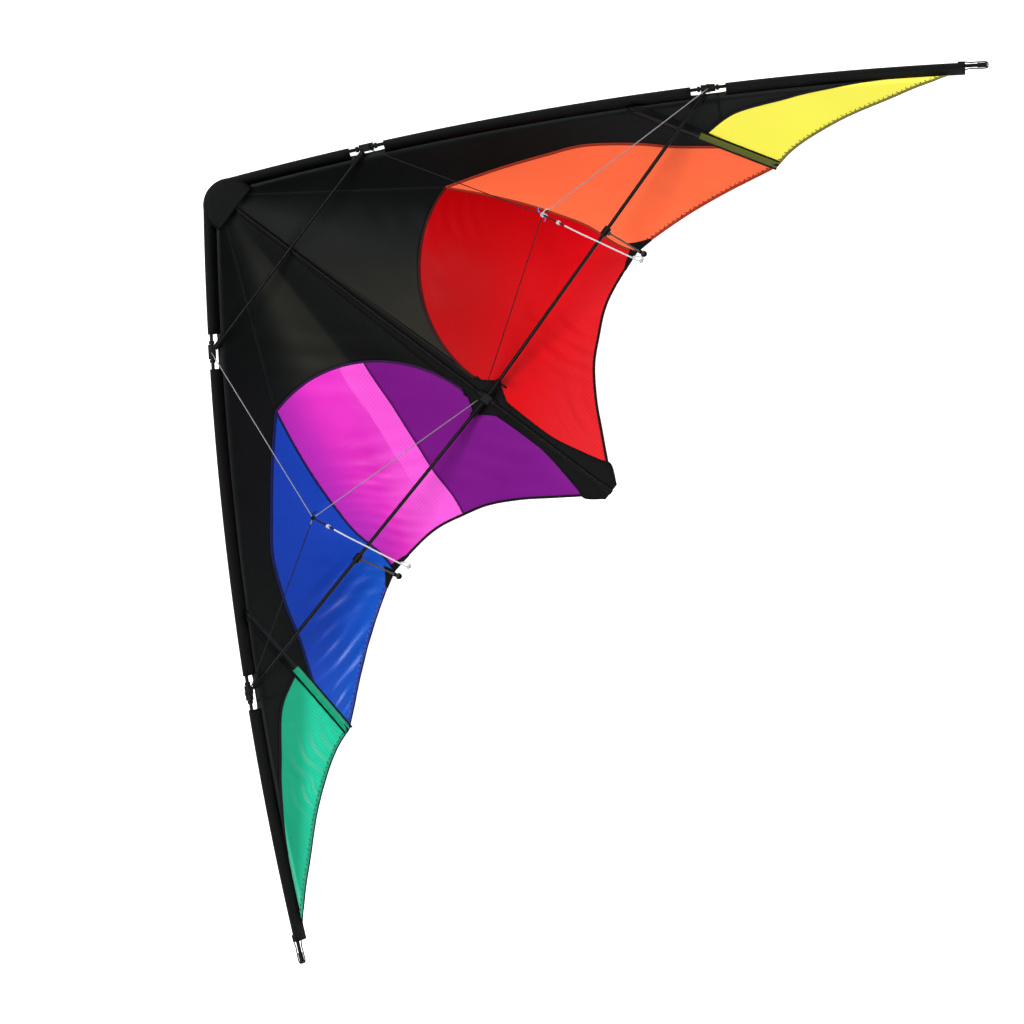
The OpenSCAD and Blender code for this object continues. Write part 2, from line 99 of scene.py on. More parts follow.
# ---------------------------------------------------------------------------------------------- places
@dataclass(frozen=True)
class KiteAxes:
    """The kite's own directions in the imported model's frame."""

    origin: np.ndarray
    across: np.ndarray
    noseward: np.ndarray
    front: np.ndarray

    @classmethod
    def from_joints(cls, joints: list[dict]) -> "KiteAxes":
        """Reads the directions from the two wings' fold joints.

        Args:
            joints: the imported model's joints.

        Returns:
            The axes, with their origin where the kite's own is.
        """
        folds = {j["name"]: j for j in joints}
        left = folds["left_fold"]
        right = folds["right_fold"]
        front = np.array(left["axis"], float)
        front /= np.linalg.norm(front)
        across = np.array([1.0, 0.0, 0.0])
        noseward = np.cross(front, across)
        middle = (np.array(left["pos_m"], float) + np.array(right["pos_m"], float)) / 2
        return cls(middle + noseward * LeadingEdge().nose_d, across, noseward, front)

    def row(self, points: np.ndarray) -> np.ndarray:
        """Turns kite coordinates (x, d, z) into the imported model's frame."""
        p = np.asarray(points, float)
        return (self.origin + p[..., 0:1] * self.across - p[..., 1:2] * self.noseward
                + p[..., 2:3] * self.front)


@dataclass(frozen=True)
class LeadingEdge:
    """The bowed leading edge; s runs along it from the nose."""

    length: float = 1.276
    nose_angle: float = math.radians(52.2)
    bow: float = 5.85
    nose_x: float = 0.02
    nose_d: float = -0.01
    upper_at: float = 0.247
    lower_at: float = 0.818
    bare_tip: float = 0.034

    @property
    def centre(self) -> np.ndarray:
        """The bow's centre, as (x, d)."""
        return np.array([self.nose_x - self.bow * math.cos(self.nose_angle),
                         self.nose_d + self.bow * math.sin(self.nose_angle)])

    def inward(self, s: np.ndarray) -> np.ndarray:
        """The direction from the spar into the sail at s, as (x, d)."""
        turn = self.nose_angle - np.asarray(s, float) / self.bow
        return np.stack([-np.cos(turn), np.sin(turn)], axis=-1)

    def point(self, s: np.ndarray, inset: np.ndarray | float = 0.0) -> np.ndarray:
        """The point (x, d) at s, moved into the sail by inset."""
        inset = np.asarray(inset, float)
        return self.centre - self.inward(s) * (self.bow - inset)[..., None]

    def nearest(self, p: np.ndarray) -> np.ndarray:
        """The s of the spar's point nearest to each (x, d)."""
        v = np.asarray(p, float) - self.centre
        return (self.nose_angle - np.arctan2(-v[..., 1], v[..., 0])) * self.bow


def through(points: Outline | np.ndarray, u: np.ndarray) -> np.ndarray:
    """A smooth curve through points.

    Args:
        points: the points that the curve passes, in order.
        u: where to read it, from 0 to 1.

    Returns:
        One point for each u.
    """
    p = np.asarray(points, float)
    n = len(p) - 1
    f = np.clip(np.asarray(u, float) * n, 0, n - 1e-9)
    i = f.astype(int)
    t = (f - i)[..., None]
    p0, p1, p2, p3 = (p[np.clip(i + k, 0, n)] for k in (-1, 0, 1, 2))
    return 0.5 * (2 * p1 + (p2 - p0) * t + (2 * p0 - 5 * p1 + 4 * p2 - p3) * t ** 2
                  + (3 * p1 - p0 - 3 * p2 + p3) * t ** 3)


@dataclass(frozen=True)
class SeamPlan:
    """The sail's seams and hems on the right half, in metres."""

    corner: tuple[float, float] = (0.234, 0.290)
    ridge_end: tuple[float, float] = (0.335, 0.610)
    batten_tail: tuple[float, float] = (0.594, 0.709)
    batten_nose: tuple[float, float] = (0.525, 0.452)
    spine_meet: float = 0.515
    start: float = 0.070

    def inner(self, u: np.ndarray) -> np.ndarray:
        """The curved seam from the spine round to the corner."""
        angle = np.asarray(u, float) * math.pi / 2
        cx, cd = self.corner
        keel = 0.014
        return np.stack([cx - (cx - keel) * np.cos(angle),
                         self.spine_meet - (self.spine_meet - cd) * np.sin(angle)], axis=-1)

    def keel(self, u: np.ndarray) -> np.ndarray:
        """The edge of the keel strip, from the tee to the tail hem."""
        return through([(0.014, 0.515), (0.010, 0.600), (0.011, 0.660), (0.020, 0.720), (0.033, 0.781)], u)

    def ridge(self, u: np.ndarray) -> np.ndarray:
        """The seam from the corner to the standoff."""
        return through([self.corner, (0.264, 0.351), (0.290, 0.413), (0.310, 0.473), (0.322, 0.520),
                        (0.326, 0.575), self.ridge_end], u)

    def outer(self, u: np.ndarray) -> np.ndarray:
        """The seam from the corner along the edge panel to the batten's tail end."""
        bend = 0.72
        u = np.asarray(u, float)
        first = through([self.corner, (0.306, 0.337), (0.377, 0.389), (0.430, 0.432), (0.482, 0.498),
                         (0.515, 0.550), (0.561, 0.612)], np.minimum(u / bend, 1))
        last = np.clip((u - bend) / (1 - bend), 0, 1)[..., None]
        return first * (1 - last) + np.array(self.batten_tail) * last

    def tip(self, u: np.ndarray) -> np.ndarray:
        """The seam from the batten to the wing tip."""
        return through([(0.569, 0.580), (0.624, 0.596), (0.690, 0.645), (0.725, 0.672), (0.790, 0.730),
                        (0.840, 0.782), (0.886, 0.834)], u)

    def inner_hem(self, u: np.ndarray) -> np.ndarray:
        """The trailing edge from the keel strip to the standoff."""
        return through([(0.033, 0.781), (0.070, 0.740), (0.105, 0.702), (0.147, 0.666), (0.190, 0.643),
                        (0.227, 0.626), (0.265, 0.617), self.ridge_end], u)

    def outer_hem(self, u: np.ndarray) -> np.ndarray:
        """The trailing edge from the standoff to the batten."""
        return through([self.ridge_end, (0.368, 0.618), (0.422, 0.635), (0.465, 0.651), (0.514, 0.672),
                        (0.575, 0.701), self.batten_tail], u)

    def tip_hem(self, u: np.ndarray) -> np.ndarray:
        """The trailing edge from the batten to the wing tip."""
        return through([self.batten_tail, (0.625, 0.711), (0.666, 0.722), (0.729, 0.748), (0.796, 0.785),
                        (0.840, 0.809), (0.892, 0.842)], u)

    def edge_side(self) -> np.ndarray:
        """The edge panel's inner outline, nose to tip, as many points."""
        steps = np.linspace(0, 1, 40)[:, None]
        nose = np.array(self.corner) * (self.start + (0.98 - self.start) * steps)
        middle = through([self.corner, (0.306, 0.337), (0.377, 0.389), (0.430, 0.432), (0.482, 0.498),
                          (0.515, 0.550), (0.552, 0.610)], np.linspace(0, 1, 60))
        wedge = np.array([[0.566, 0.622], [0.583, 0.594]])
        return np.concatenate([nose, middle, wedge, self.tip(np.linspace(0.16, 1, 60))])


@dataclass(frozen=True)
class Wrinkle:
    """A patch of parallel creases in the cloth."""

    x: float
    d: float
    heading: float
    wave: float
    along: float
    across: float
    height: float

    def lift(self, x: np.ndarray, d: np.ndarray) -> np.ndarray:
        """How far the creases lift the cloth at each (x, d)."""
        turn = math.radians(self.heading)
        a = (x - self.x) * math.cos(turn) + (d - self.d) * math.sin(turn)
        b = (d - self.d) * math.cos(turn) - (x - self.x) * math.sin(turn)
        bend = 0.25 * self.wave * np.sin(a / self.along * 2.2 + self.heading)
        crest = np.cos(2 * math.pi * (b + bend) / self.wave)
        return self.height * crest * np.exp(-(a / self.along) ** 2 - (b / self.across) ** 2)


@dataclass(frozen=True)
class SailShape:
    """The stretched sail's surface, and how it gathers as the wings fold."""

    edge: LeadingEdge = LeadingEdge()
    keel_depth: float = 0.0165
    edge_depth: float = 0.0075
    belly: float = 0.2
    gather_from: float = math.radians(2.7)
    gather_to: float = math.radians(38.85)
    wrinkles: tuple[Wrinkle, ...] = (
        # blue panel and its hem
        Wrinkle(-0.50, 0.630, 12, 0.024, 0.070, 0.055, 0.0022),
        Wrinkle(-0.43, 0.570, 18, 0.030, 0.070, 0.050, 0.0018),
        Wrinkle(-0.56, 0.670, 6, 0.017, 0.040, 0.030, 0.0016),
        Wrinkle(-0.38, 0.590, 40, 0.022, 0.040, 0.035, 0.0012),
        # green panel
        Wrinkle(-0.65, 0.690, 112, 0.020, 0.035, 0.050, 0.0022),
        Wrinkle(-0.72, 0.720, 118, 0.017, 0.030, 0.045, 0.0020),
        Wrinkle(-0.80, 0.775, 104, 0.015, 0.026, 0.035, 0.0013),
        # magenta and purple panels
        Wrinkle(-0.22, 0.390, 36, 0.013, 0.050, 0.035, 0.0007),
        Wrinkle(-0.26, 0.470, 52, 0.016, 0.055, 0.040, 0.0009),
        Wrinkle(-0.28, 0.560, 60, 0.020, 0.050, 0.040, 0.0009),
        Wrinkle(-0.20, 0.480, 50, 0.034, 0.080, 0.060, 0.0010),
        Wrinkle(-0.09, 0.620, 60, 0.040, 0.080, 0.050, 0.0007),
        # red and orange panels
        Wrinkle(0.21, 0.335, 130, 0.024, 0.045, 0.050, 0.0012),
        Wrinkle(0.15, 0.620, 80, 0.024, 0.070, 0.050, 0.0008),
        Wrinkle(0.16, 0.580, 120, 0.042, 0.090, 0.060, 0.0008),
        Wrinkle(0.06, 0.690, 125, 0.026, 0.050, 0.040, 0.0009),
        Wrinkle(0.46, 0.600, 100, 0.038, 0.070, 0.060, 0.0007),
        Wrinkle(0.70, 0.690, 120, 0.034, 0.050, 0.050, 0.0006),
        # black panels
        Wrinkle(-0.13, 0.300, 62, 0.045, 0.110, 0.060, 0.0009),
        Wrinkle(0.13, 0.300, 118, 0.050, 0.110, 0.060, 0.0009),
        Wrinkle(-0.46, 0.430, 44, 0.030, 0.090, 0.030, 0.0009),
        Wrinkle(0.44, 0.400, 136, 0.032, 0.090, 0.030, 0.0008),
        Wrinkle(-0.66, 0.600, 48, 0.026, 0.060, 0.025, 0.0009),
        Wrinkle(0.03, 0.770, 90, 0.022, 0.040, 0.030, 0.0005),
    )

    def angles(self, x: np.ndarray, d: np.ndarray) -> tuple[np.ndarray, np.ndarray]:
        """The angle of each point about the nose, and the leading edge's angle at its distance."""
        r = np.hypot(x, d)
        return np.arctan2(np.abs(x), d), self.edge.nose_angle - r / (2 * self.edge.bow)

    def z(self, p: np.ndarray) -> np.ndarray:
        """The cloth's height at each (x, d)."""
        x, d = p[..., 0], p[..., 1]
        angle, edge = self.angles(x, d)
        t = np.clip(angle / edge, 0, 1)
        depth = self.keel_depth + (self.edge_depth - self.keel_depth) * t
        depth = depth + np.hypot(x, d) * self.belly * np.sin(math.pi * t ** 1.25)
        lift = sum(w.lift(x, d) for w in self.wrinkles)
        calm = np.clip((1 - t) / 0.06, 0, 1) * np.clip(np.abs(x) / 0.03, 0, 1)
        return lift * calm - depth

    def place(self, p: np.ndarray, lift: float | np.ndarray = 0.0) -> np.ndarray:
        """Kite coordinates of each (x, d) on the cloth, lifted towards the flyer."""
        return np.concatenate([p, (self.z(p) + lift)[..., None]], axis=-1)

    def share(self, x: np.ndarray, d: np.ndarray) -> np.ndarray:
        """How much of a wing's fold each point takes: 0 at the spine, 1 from the ridge outwards."""
        angle, _ = self.angles(x, d)
        return np.clip((angle - self.gather_from) / (self.gather_to - self.gather_from), 0, 1)


# -------------------------------------------------------------------------------------------- finishes
class NodeSheet:
    """A short way to write a node tree."""

    def __init__(self, tree: bpy.types.NodeTree) -> None:
        """Takes the tree to write into and empties it."""
        self.tree = tree
        tree.nodes.clear()

    def node(self, kind: str, **inputs: object) -> bpy.types.Node:
        """Adds a node.

        Args:
            kind: the node's Blender name.
            inputs: values or sockets by input name, with spaces as underscores; names that begin with
                set_ are the node's own settings.

        Returns:
            The new node.
        """
        made = self.tree.nodes.new(kind)
        for name, value in inputs.items():
            if name.startswith("set_"):
                setattr(made, name[4:], value)
        for name, value in inputs.items():
            if not name.startswith("set_"):
                self.put(made, int(name[1:]) if name[1:].isdigit() else name.replace("_", " "), value)
        return made

    def put(self, made: bpy.types.Node, key: int | str, value: object) -> None:
        """Sets or links one input."""
        socket = made.inputs[key]
        if isinstance(value, bpy.types.NodeSocket):
            self.tree.links.new(value, socket)
        else:
            socket.default_value = value

    def math(self, kind: str, *values: object, clamp: bool = False) -> bpy.types.NodeSocket:
        """Adds a Math node and returns its result."""
        made = self.tree.nodes.new("ShaderNodeMath")
        made.operation = kind
        made.use_clamp = clamp
        for i, value in enumerate(values):
            self.put(made, i, value)
        return made.outputs[0]

    def blend_colour(self, share: object, first: object, second: object) -> bpy.types.NodeSocket:
        """Mixes two colours and returns the result."""
        made = self.tree.nodes.new("ShaderNodeMix")
        made.data_type = "RGBA"
        self.put(made, 0, share)
        self.put(made, 6, first)
        self.put(made, 7, second)
        return made.outputs[2]


class EffectKit:
    """The shader effects that several finishes share."""

    def __init__(self) -> None:
        """Starts with no effect built."""
        self.built: dict[str, bpy.types.NodeTree] = {}

    def group(self, name: str, inputs: dict[str, float], outputs: dict[str, str]) -> NodeSheet:
        """Starts a node group with named inputs and outputs."""
        tree = bpy.data.node_groups.new(name, "ShaderNodeTree")
        for label, value in inputs.items():
            tree.interface.new_socket(label, in_out="INPUT",
                                      socket_type="NodeSocketFloat").default_value = value
        for label, kind in outputs.items():
            tree.interface.new_socket(label, in_out="OUTPUT", socket_type=kind)
        self.built[name] = tree
        return NodeSheet(tree)

    def ripstop(self) -> bpy.types.NodeTree:
        """A grid of thicker threads on the cloth's own UV map, which is in metres."""
        if "ripstop threads" not in self.built:
            sheet = self.group("ripstop threads", {"Cell": 0.005, "Thread": 0.08},
                               {"Threads": "NodeSocketFloat"})
            given = sheet.node("NodeGroupInput")
            place = sheet.node("ShaderNodeSeparateXYZ", Vector=sheet.node("ShaderNodeTexCoord").outputs["UV"])
            lines = []
            for axis in (0, 1):
                cell = sheet.math("DIVIDE", place.outputs[axis], given.outputs["Cell"])
                off = sheet.math("ABSOLUTE", sheet.math("SUBTRACT", sheet.math("FRACT", cell), 0.5))
                lines.append(sheet.math("GREATER_THAN", off,
                                        sheet.math("SUBTRACT", 0.5, given.outputs["Thread"])))
            sheet.node("NodeGroupOutput", Threads=sheet.math("MAXIMUM", *lines))
        return self.built["ripstop threads"]

    def mottle(self) -> bpy.types.NodeTree:
        """Soft blotches and fine grain on Object coordinates."""
        if "mottle" not in self.built:
            sheet = self.group("mottle", {"Blotch Scale": 6.0, "Grain Scale": 900.0},
                               {"Blotches": "NodeSocketFloat", "Grain": "NodeSocketFloat"})
            given = sheet.node("NodeGroupInput")
            place = sheet.node("ShaderNodeTexCoord").outputs["Object"]
            soft = sheet.node("ShaderNodeTexNoise", Vector=place, Scale=given.outputs["Blotch Scale"],
                              Detail=4.0)
            fine = sheet.node("ShaderNodeTexNoise", Vector=place, Scale=given.outputs["Grain Scale"],
                              Detail=2.0)
            wide = sheet.node("ShaderNodeMapRange", Value=soft.outputs["Fac"], From_Min=0.35, From_Max=0.65)
            sheet.node("NodeGroupOutput", Blotches=wide.outputs["Result"], Grain=fine.outputs["Fac"])
        return self.built["mottle"]

    def weave(self) -> bpy.types.NodeTree:
        """An over-and-under weave on the piece's own UV map, which is in metres."""
        if "plain weave" not in self.built:
            sheet = self.group("plain weave", {"Pitch": 0.0016, "Slant": 0.0}, {"Height": "NodeSocketFloat"})
            given = sheet.node("NodeGroupInput")
            place = sheet.node("ShaderNodeSeparateXYZ", Vector=sheet.node("ShaderNodeTexCoord").outputs["UV"])
            u = sheet.math("ADD", place.outputs[0],
                           sheet.math("MULTIPLY", place.outputs[1], given.outputs["Slant"]))
            v = sheet.math("SUBTRACT", place.outputs[1],
                           sheet.math("MULTIPLY", place.outputs[0], given.outputs["Slant"]))
            waves = []
            for value in (u, v):
                turns = sheet.math("DIVIDE", sheet.math("MULTIPLY", value, math.tau), given.outputs["Pitch"])
                waves.append(sheet.math("SINE", turns))
            product = sheet.math("MULTIPLY", *waves)
            sheet.node("NodeGroupOutput", Height=sheet.math("MULTIPLY_ADD", product, 0.5, 0.5))
        return self.built["plain weave"]


EFFECTS = EffectKit()


@dataclass(frozen=True)
class Finish:
    """A surface: its colour, gloss and the record's slot that it stands for."""

    name: str
    slot: str
    colour: tuple[float, float, float]
    roughness: float = 0.5
    sheen: float = 0.0
    specular: float = 0.5
    shade: float = 0.8

    def material(self) -> bpy.types.Material:
        """The finish's material, built the first time it is asked for."""
        found = bpy.data.materials.get(self.name)
        if found:
            return found
        made = bpy.data.materials.new(self.name)
        made.use_nodes = True
        sheet = NodeSheet(made.node_tree)
        shader = sheet.node("ShaderNodeBsdfPrincipled", Roughness=self.roughness)
        shader.inputs["Sheen Weight"].default_value = self.sheen
        shader.inputs["Specular IOR Level"].default_value = self.specular
        sheet.node("ShaderNodeOutputMaterial", Surface=shader.outputs[0])
        self.dress(sheet, shader)
        return made

    def tone(self, share: float) -> tuple[float, float, float, float]:
        """The colour made darker (below 1) or lighter (above 1)."""
        return tuple(min(1.0, c * share) for c in self.colour) + (1.0,)

    def mottled(self, sheet: NodeSheet, blotch: float, grain: float) -> bpy.types.Node:
        """Places the mottle effect."""
        node = sheet.node("ShaderNodeGroup", set_node_tree=EFFECTS.mottle())
        node.inputs["Blotch Scale"].default_value = blotch
        node.inputs["Grain Scale"].default_value = grain
        return node

    def bump(self, sheet: NodeSheet, shader: bpy.types.Node, height: object, strength: float,
             depth: float) -> None:
        """Lets a height roughen the surface's normal."""
        node = sheet.node("ShaderNodeBump", Strength=strength, Distance=depth, Height=height)
        sheet.put(shader, "Normal", node.outputs["Normal"])

    def dress(self, sheet: NodeSheet, shader: bpy.types.Node) -> None:
        """Gives the shader its colour and surface."""
        soft = self.mottled(sheet, 14.0, 700.0)
        sheet.put(shader, "Base Color", sheet.blend_colour(soft.outputs["Blotches"], self.tone(self.shade),
                                                           self.tone(1.0)))
        self.bump(sheet, shader, soft.outputs["Grain"], 0.25, 0.0002)


@dataclass(frozen=True)
class ClothFinish(Finish):
    """Ripstop cloth: thread grid, soft changes of tone, a light sheen, and painted light and shade from a
    per-point tone.
    """

    roughness: float = 0.42
    sheen: float = 0.0
    specular: float = 0.22
    shade: float = 0.88
    threads: float = 0.88
    # pale is the colour of painted light and deep the colour of painted shade; a panel's tone blends them in.
    pale: tuple[float, float, float] | None = None
    deep: tuple[float, float, float] | None = None

    def dress(self, sheet: NodeSheet, shader: bpy.types.Node) -> None:
        """Gives the shader its colour and surface."""
        soft = self.mottled(sheet, 7.0, 1400.0)
        grid = sheet.node("ShaderNodeGroup", set_node_tree=EFFECTS.ripstop())
        base = sheet.blend_colour(soft.outputs["Blotches"], self.tone(self.shade), self.tone(1.0))
        # The tone attribute paints light towards pale above 0 and shade towards deep below 0.
        tone = sheet.node("ShaderNodeAttribute", set_attribute_name="tone").outputs["Fac"]
        if self.pale:
            base = sheet.blend_colour(sheet.math("MAXIMUM", tone, 0.0), base, self.pale + (1.0,))
        if self.deep:
            base = sheet.blend_colour(sheet.math("MAXIMUM", sheet.math("MULTIPLY", tone, -1.0), 0.0), base,
                                      self.deep + (1.0,))
        thin = sheet.math("MULTIPLY", grid.outputs["Threads"], 0.5)
        sheet.put(shader, "Base Color", sheet.blend_colour(thin, base, self.tone(self.threads)))
        rough = sheet.math("MULTIPLY_ADD", soft.outputs["Blotches"], 0.12, self.roughness - 0.06)
        sheet.put(shader, "Roughness", rough)
        height = sheet.math("ADD", grid.outputs["Threads"],
                            sheet.math("MULTIPLY", soft.outputs["Grain"], 0.6))
        self.bump(sheet, shader, height, 0.3, 0.0002)


@dataclass(frozen=True)
class WovenFinish(Finish):
    """Webbing, tape or braid: a weave on the piece's own UV map."""

    pitch: float = 0.0016
    slant: float = 0.0
    relief: float = 0.0004

    def dress(self, sheet: NodeSheet, shader: bpy.types.Node) -> None:
        """Gives the shader its colour and surface."""
        weave = sheet.node("ShaderNodeGroup", set_node_tree=EFFECTS.weave())
        weave.inputs["Pitch"].default_value = self.pitch
        weave.inputs["Slant"].default_value = self.slant
        height = weave.outputs["Height"]
        sheet.put(shader, "Base Color", sheet.blend_colour(height, self.tone(self.shade), self.tone(1.15)))
        self.bump(sheet, shader, height, 0.6, self.relief)


@dataclass(frozen=True)
class RodFinish(Finish):
    """Wrapped carbon tube: fine bands along its length under a satin resin."""

    roughness: float = 0.32

    def dress(self, sheet: NodeSheet, shader: bpy.types.Node) -> None:
        """Gives the shader its colour and surface."""
        place = sheet.node("ShaderNodeTexCoord").outputs["Object"]
        bands = sheet.node("ShaderNodeTexWave", Vector=place, Scale=90.0, Distortion=3.0, Detail=2.0,
                           set_bands_direction="DIAGONAL")
        soft = self.mottled(sheet, 20.0, 500.0)
        sheet.put(shader, "Base Color",
                  sheet.blend_colour(bands.outputs["Fac"], self.tone(0.75), self.tone(1.25)))
        sheet.put(shader, "Roughness",
                  sheet.math("MULTIPLY_ADD", soft.outputs["Grain"], 0.2, self.roughness - 0.1))
        self.bump(sheet, shader, bands.outputs["Fac"], 0.12, 0.0001)


# In the cloth finishes below, each pale colour is painted light and each deep colour painted shade.
CLOTH_BLACK = ClothFinish("black ripstop", "cloth_black", (0.0042, 0.0058, 0.0056), 0.5, specular=0.10,
                          shade=0.6, threads=1.5, pale=(0.0170, 0.0160, 0.0110), deep=(0.003, 0.003, 0.003))
CLOTH_RED = ClothFinish("red ripstop", "cloth_red", (0.62, 0.0012, 0.0050), specular=0.05, shade=0.80,
                        threads=0.75, pale=(0.68, 0.019, 0.026), deep=(0.33, 0.0004, 0.0012))
CLOTH_ORANGE = ClothFinish("orange ripstop", "cloth_orange", (1.0, 0.150, 0.056), specular=0.1, shade=0.93)
CLOTH_YELLOW = ClothFinish("yellow ripstop", "cloth_yellow", (0.98, 0.92, 0.085), shade=0.96)
CLOTH_PURPLE = ClothFinish("purple ripstop", "cloth_purple", (0.185, 0.0060, 0.225), specular=0.12,
                           shade=0.85, pale=(0.22, 0.010, 0.26), deep=(0.165, 0.007, 0.185))
CLOTH_MAGENTA = ClothFinish("magenta ripstop", "cloth_magenta", (0.72, 0.024, 0.50), shade=0.84,
                            pale=(0.92, 0.110, 0.68), deep=(0.36, 0.016, 0.38))
CLOTH_BLUE = ClothFinish("blue ripstop", "cloth_blue", (0.0010, 0.046, 0.43), 0.32, specular=0.5, shade=0.8,
                         pale=(0.004, 0.105, 0.58), deep=(0.001, 0.028, 0.34))
CLOTH_GREEN = ClothFinish("green ripstop", "cloth_green", (0.0, 0.40, 0.215), 0.32, specular=0.5, shade=0.82,
                          pale=(0.012, 0.62, 0.36), deep=(0.0, 0.30, 0.16))
POCKET_GREEN = ClothFinish("green pocket tape", "cloth_green", (0.002, 0.34, 0.17), 0.36)
POCKET_OLIVE = ClothFinish("olive pocket tape", "cloth_yellow", (0.10, 0.115, 0.018), 0.5, specular=0.1)
SEAM_TAPE = WovenFinish("seam tape", "cloth_black", (0.0055, 0.0050, 0.0060), 0.6, specular=0.10, shade=0.6,
                        pitch=0.0011)
SEAM_RED = WovenFinish("dark red seam", "cloth_red", (0.055, 0.002, 0.004), 0.55, specular=0.15, pitch=0.0011)
SEAM_PURPLE = WovenFinish("dark purple seam", "cloth_purple", (0.040, 0.004, 0.060), 0.55, specular=0.15,
                          pitch=0.0011)
SEAM_NAVY = WovenFinish("navy seam", "cloth_blue", (0.003, 0.008, 0.085), 0.55, specular=0.15, pitch=0.0011)
SEAM_RUST = WovenFinish("rust seam", "cloth_orange", (0.34, 0.028, 0.010), 0.55, specular=0.15, pitch=0.0011)
HEM_BLUE = WovenFinish("blue hem", "cloth_blue", (0.003, 0.050, 0.42), 0.35, shade=0.7, pitch=0.0011)
HEM_GREEN = WovenFinish("green hem", "cloth_green", (0.002, 0.36, 0.20), 0.35, shade=0.7, pitch=0.0011)
HEM_OLIVE = WovenFinish("olive hem", "cloth_yellow", (0.16, 0.15, 0.02), 0.5, shade=0.7, pitch=0.0011)
# A thin pale line painted as the highlight on the lit edge beside the spine.
KEEL_PAINTED_HIGHLIGHT = WovenFinish("pale keel piping", "cloth_black", (0.016, 0.015, 0.012), 0.5, specular=0.08,
                         pitch=0.0011)
SLEEVE = WovenFinish("sleeve tape", "sleeve_black", (0.0062, 0.0066, 0.0066), 0.6, specular=0.06,
                     pitch=0.0013)
WEBBING = WovenFinish("nose webbing", "webbing_black", (0.0050, 0.0054, 0.0055), 0.65, specular=0.05,
                      pitch=0.0022, relief=0.0003)
PATCH = WovenFinish("patch webbing", "webbing_black", (0.0045, 0.0045, 0.0048), 0.65, specular=0.08,
                    pitch=0.0018)
THREAD_BLACK = Finish("black thread", "webbing_black", (0.006, 0.006, 0.0065), 0.6, specular=0.2)
THREAD_GREY = Finish("grey thread", "webbing_black", (0.016, 0.016, 0.017), 0.6, specular=0.2)
LINE_WHITE = WovenFinish("white braid", "line_white", (0.50, 0.51, 0.52), 0.6, pitch=0.0012, slant=0.6)
# The white line in painted half shade, for the bridle legs.
LINE_HALF_SHADED_WHITE = WovenFinish("pale braid", "line_white", (0.22, 0.22, 0.24), 0.6, pitch=0.0012, slant=0.6)
# Dark braid; on the bridle legs and the left tow knot it is painted shade on the white line.
LINE_DARK = WovenFinish("dark braid", "line_white", (0.010, 0.010, 0.012), 0.6, specular=0.06, pitch=0.0012,
                        slant=0.6)
LINE_BLUE = WovenFinish("blue braid", "line_white", (0.05, 0.16, 0.55), 0.6, pitch=0.0012, slant=0.6)
ROD = RodFinish("carbon rod", "rod_black", (0.0040, 0.0040, 0.0043), specular=0.07)
MOULDED = Finish("moulded nylon", "fitting_black", (0.0042, 0.0042, 0.0045), 0.5, specular=0.09, shade=0.75)
VINYL = Finish("soft vinyl", "vinyl_black", (0.0040, 0.0040, 0.0043), 0.55, specular=0.07, shade=0.75)
NODE_FINISHES = {f.slot: f for f in (ROD, MOULDED, VINYL, WEBBING, SLEEVE, CLOTH_BLACK, LINE_WHITE)}


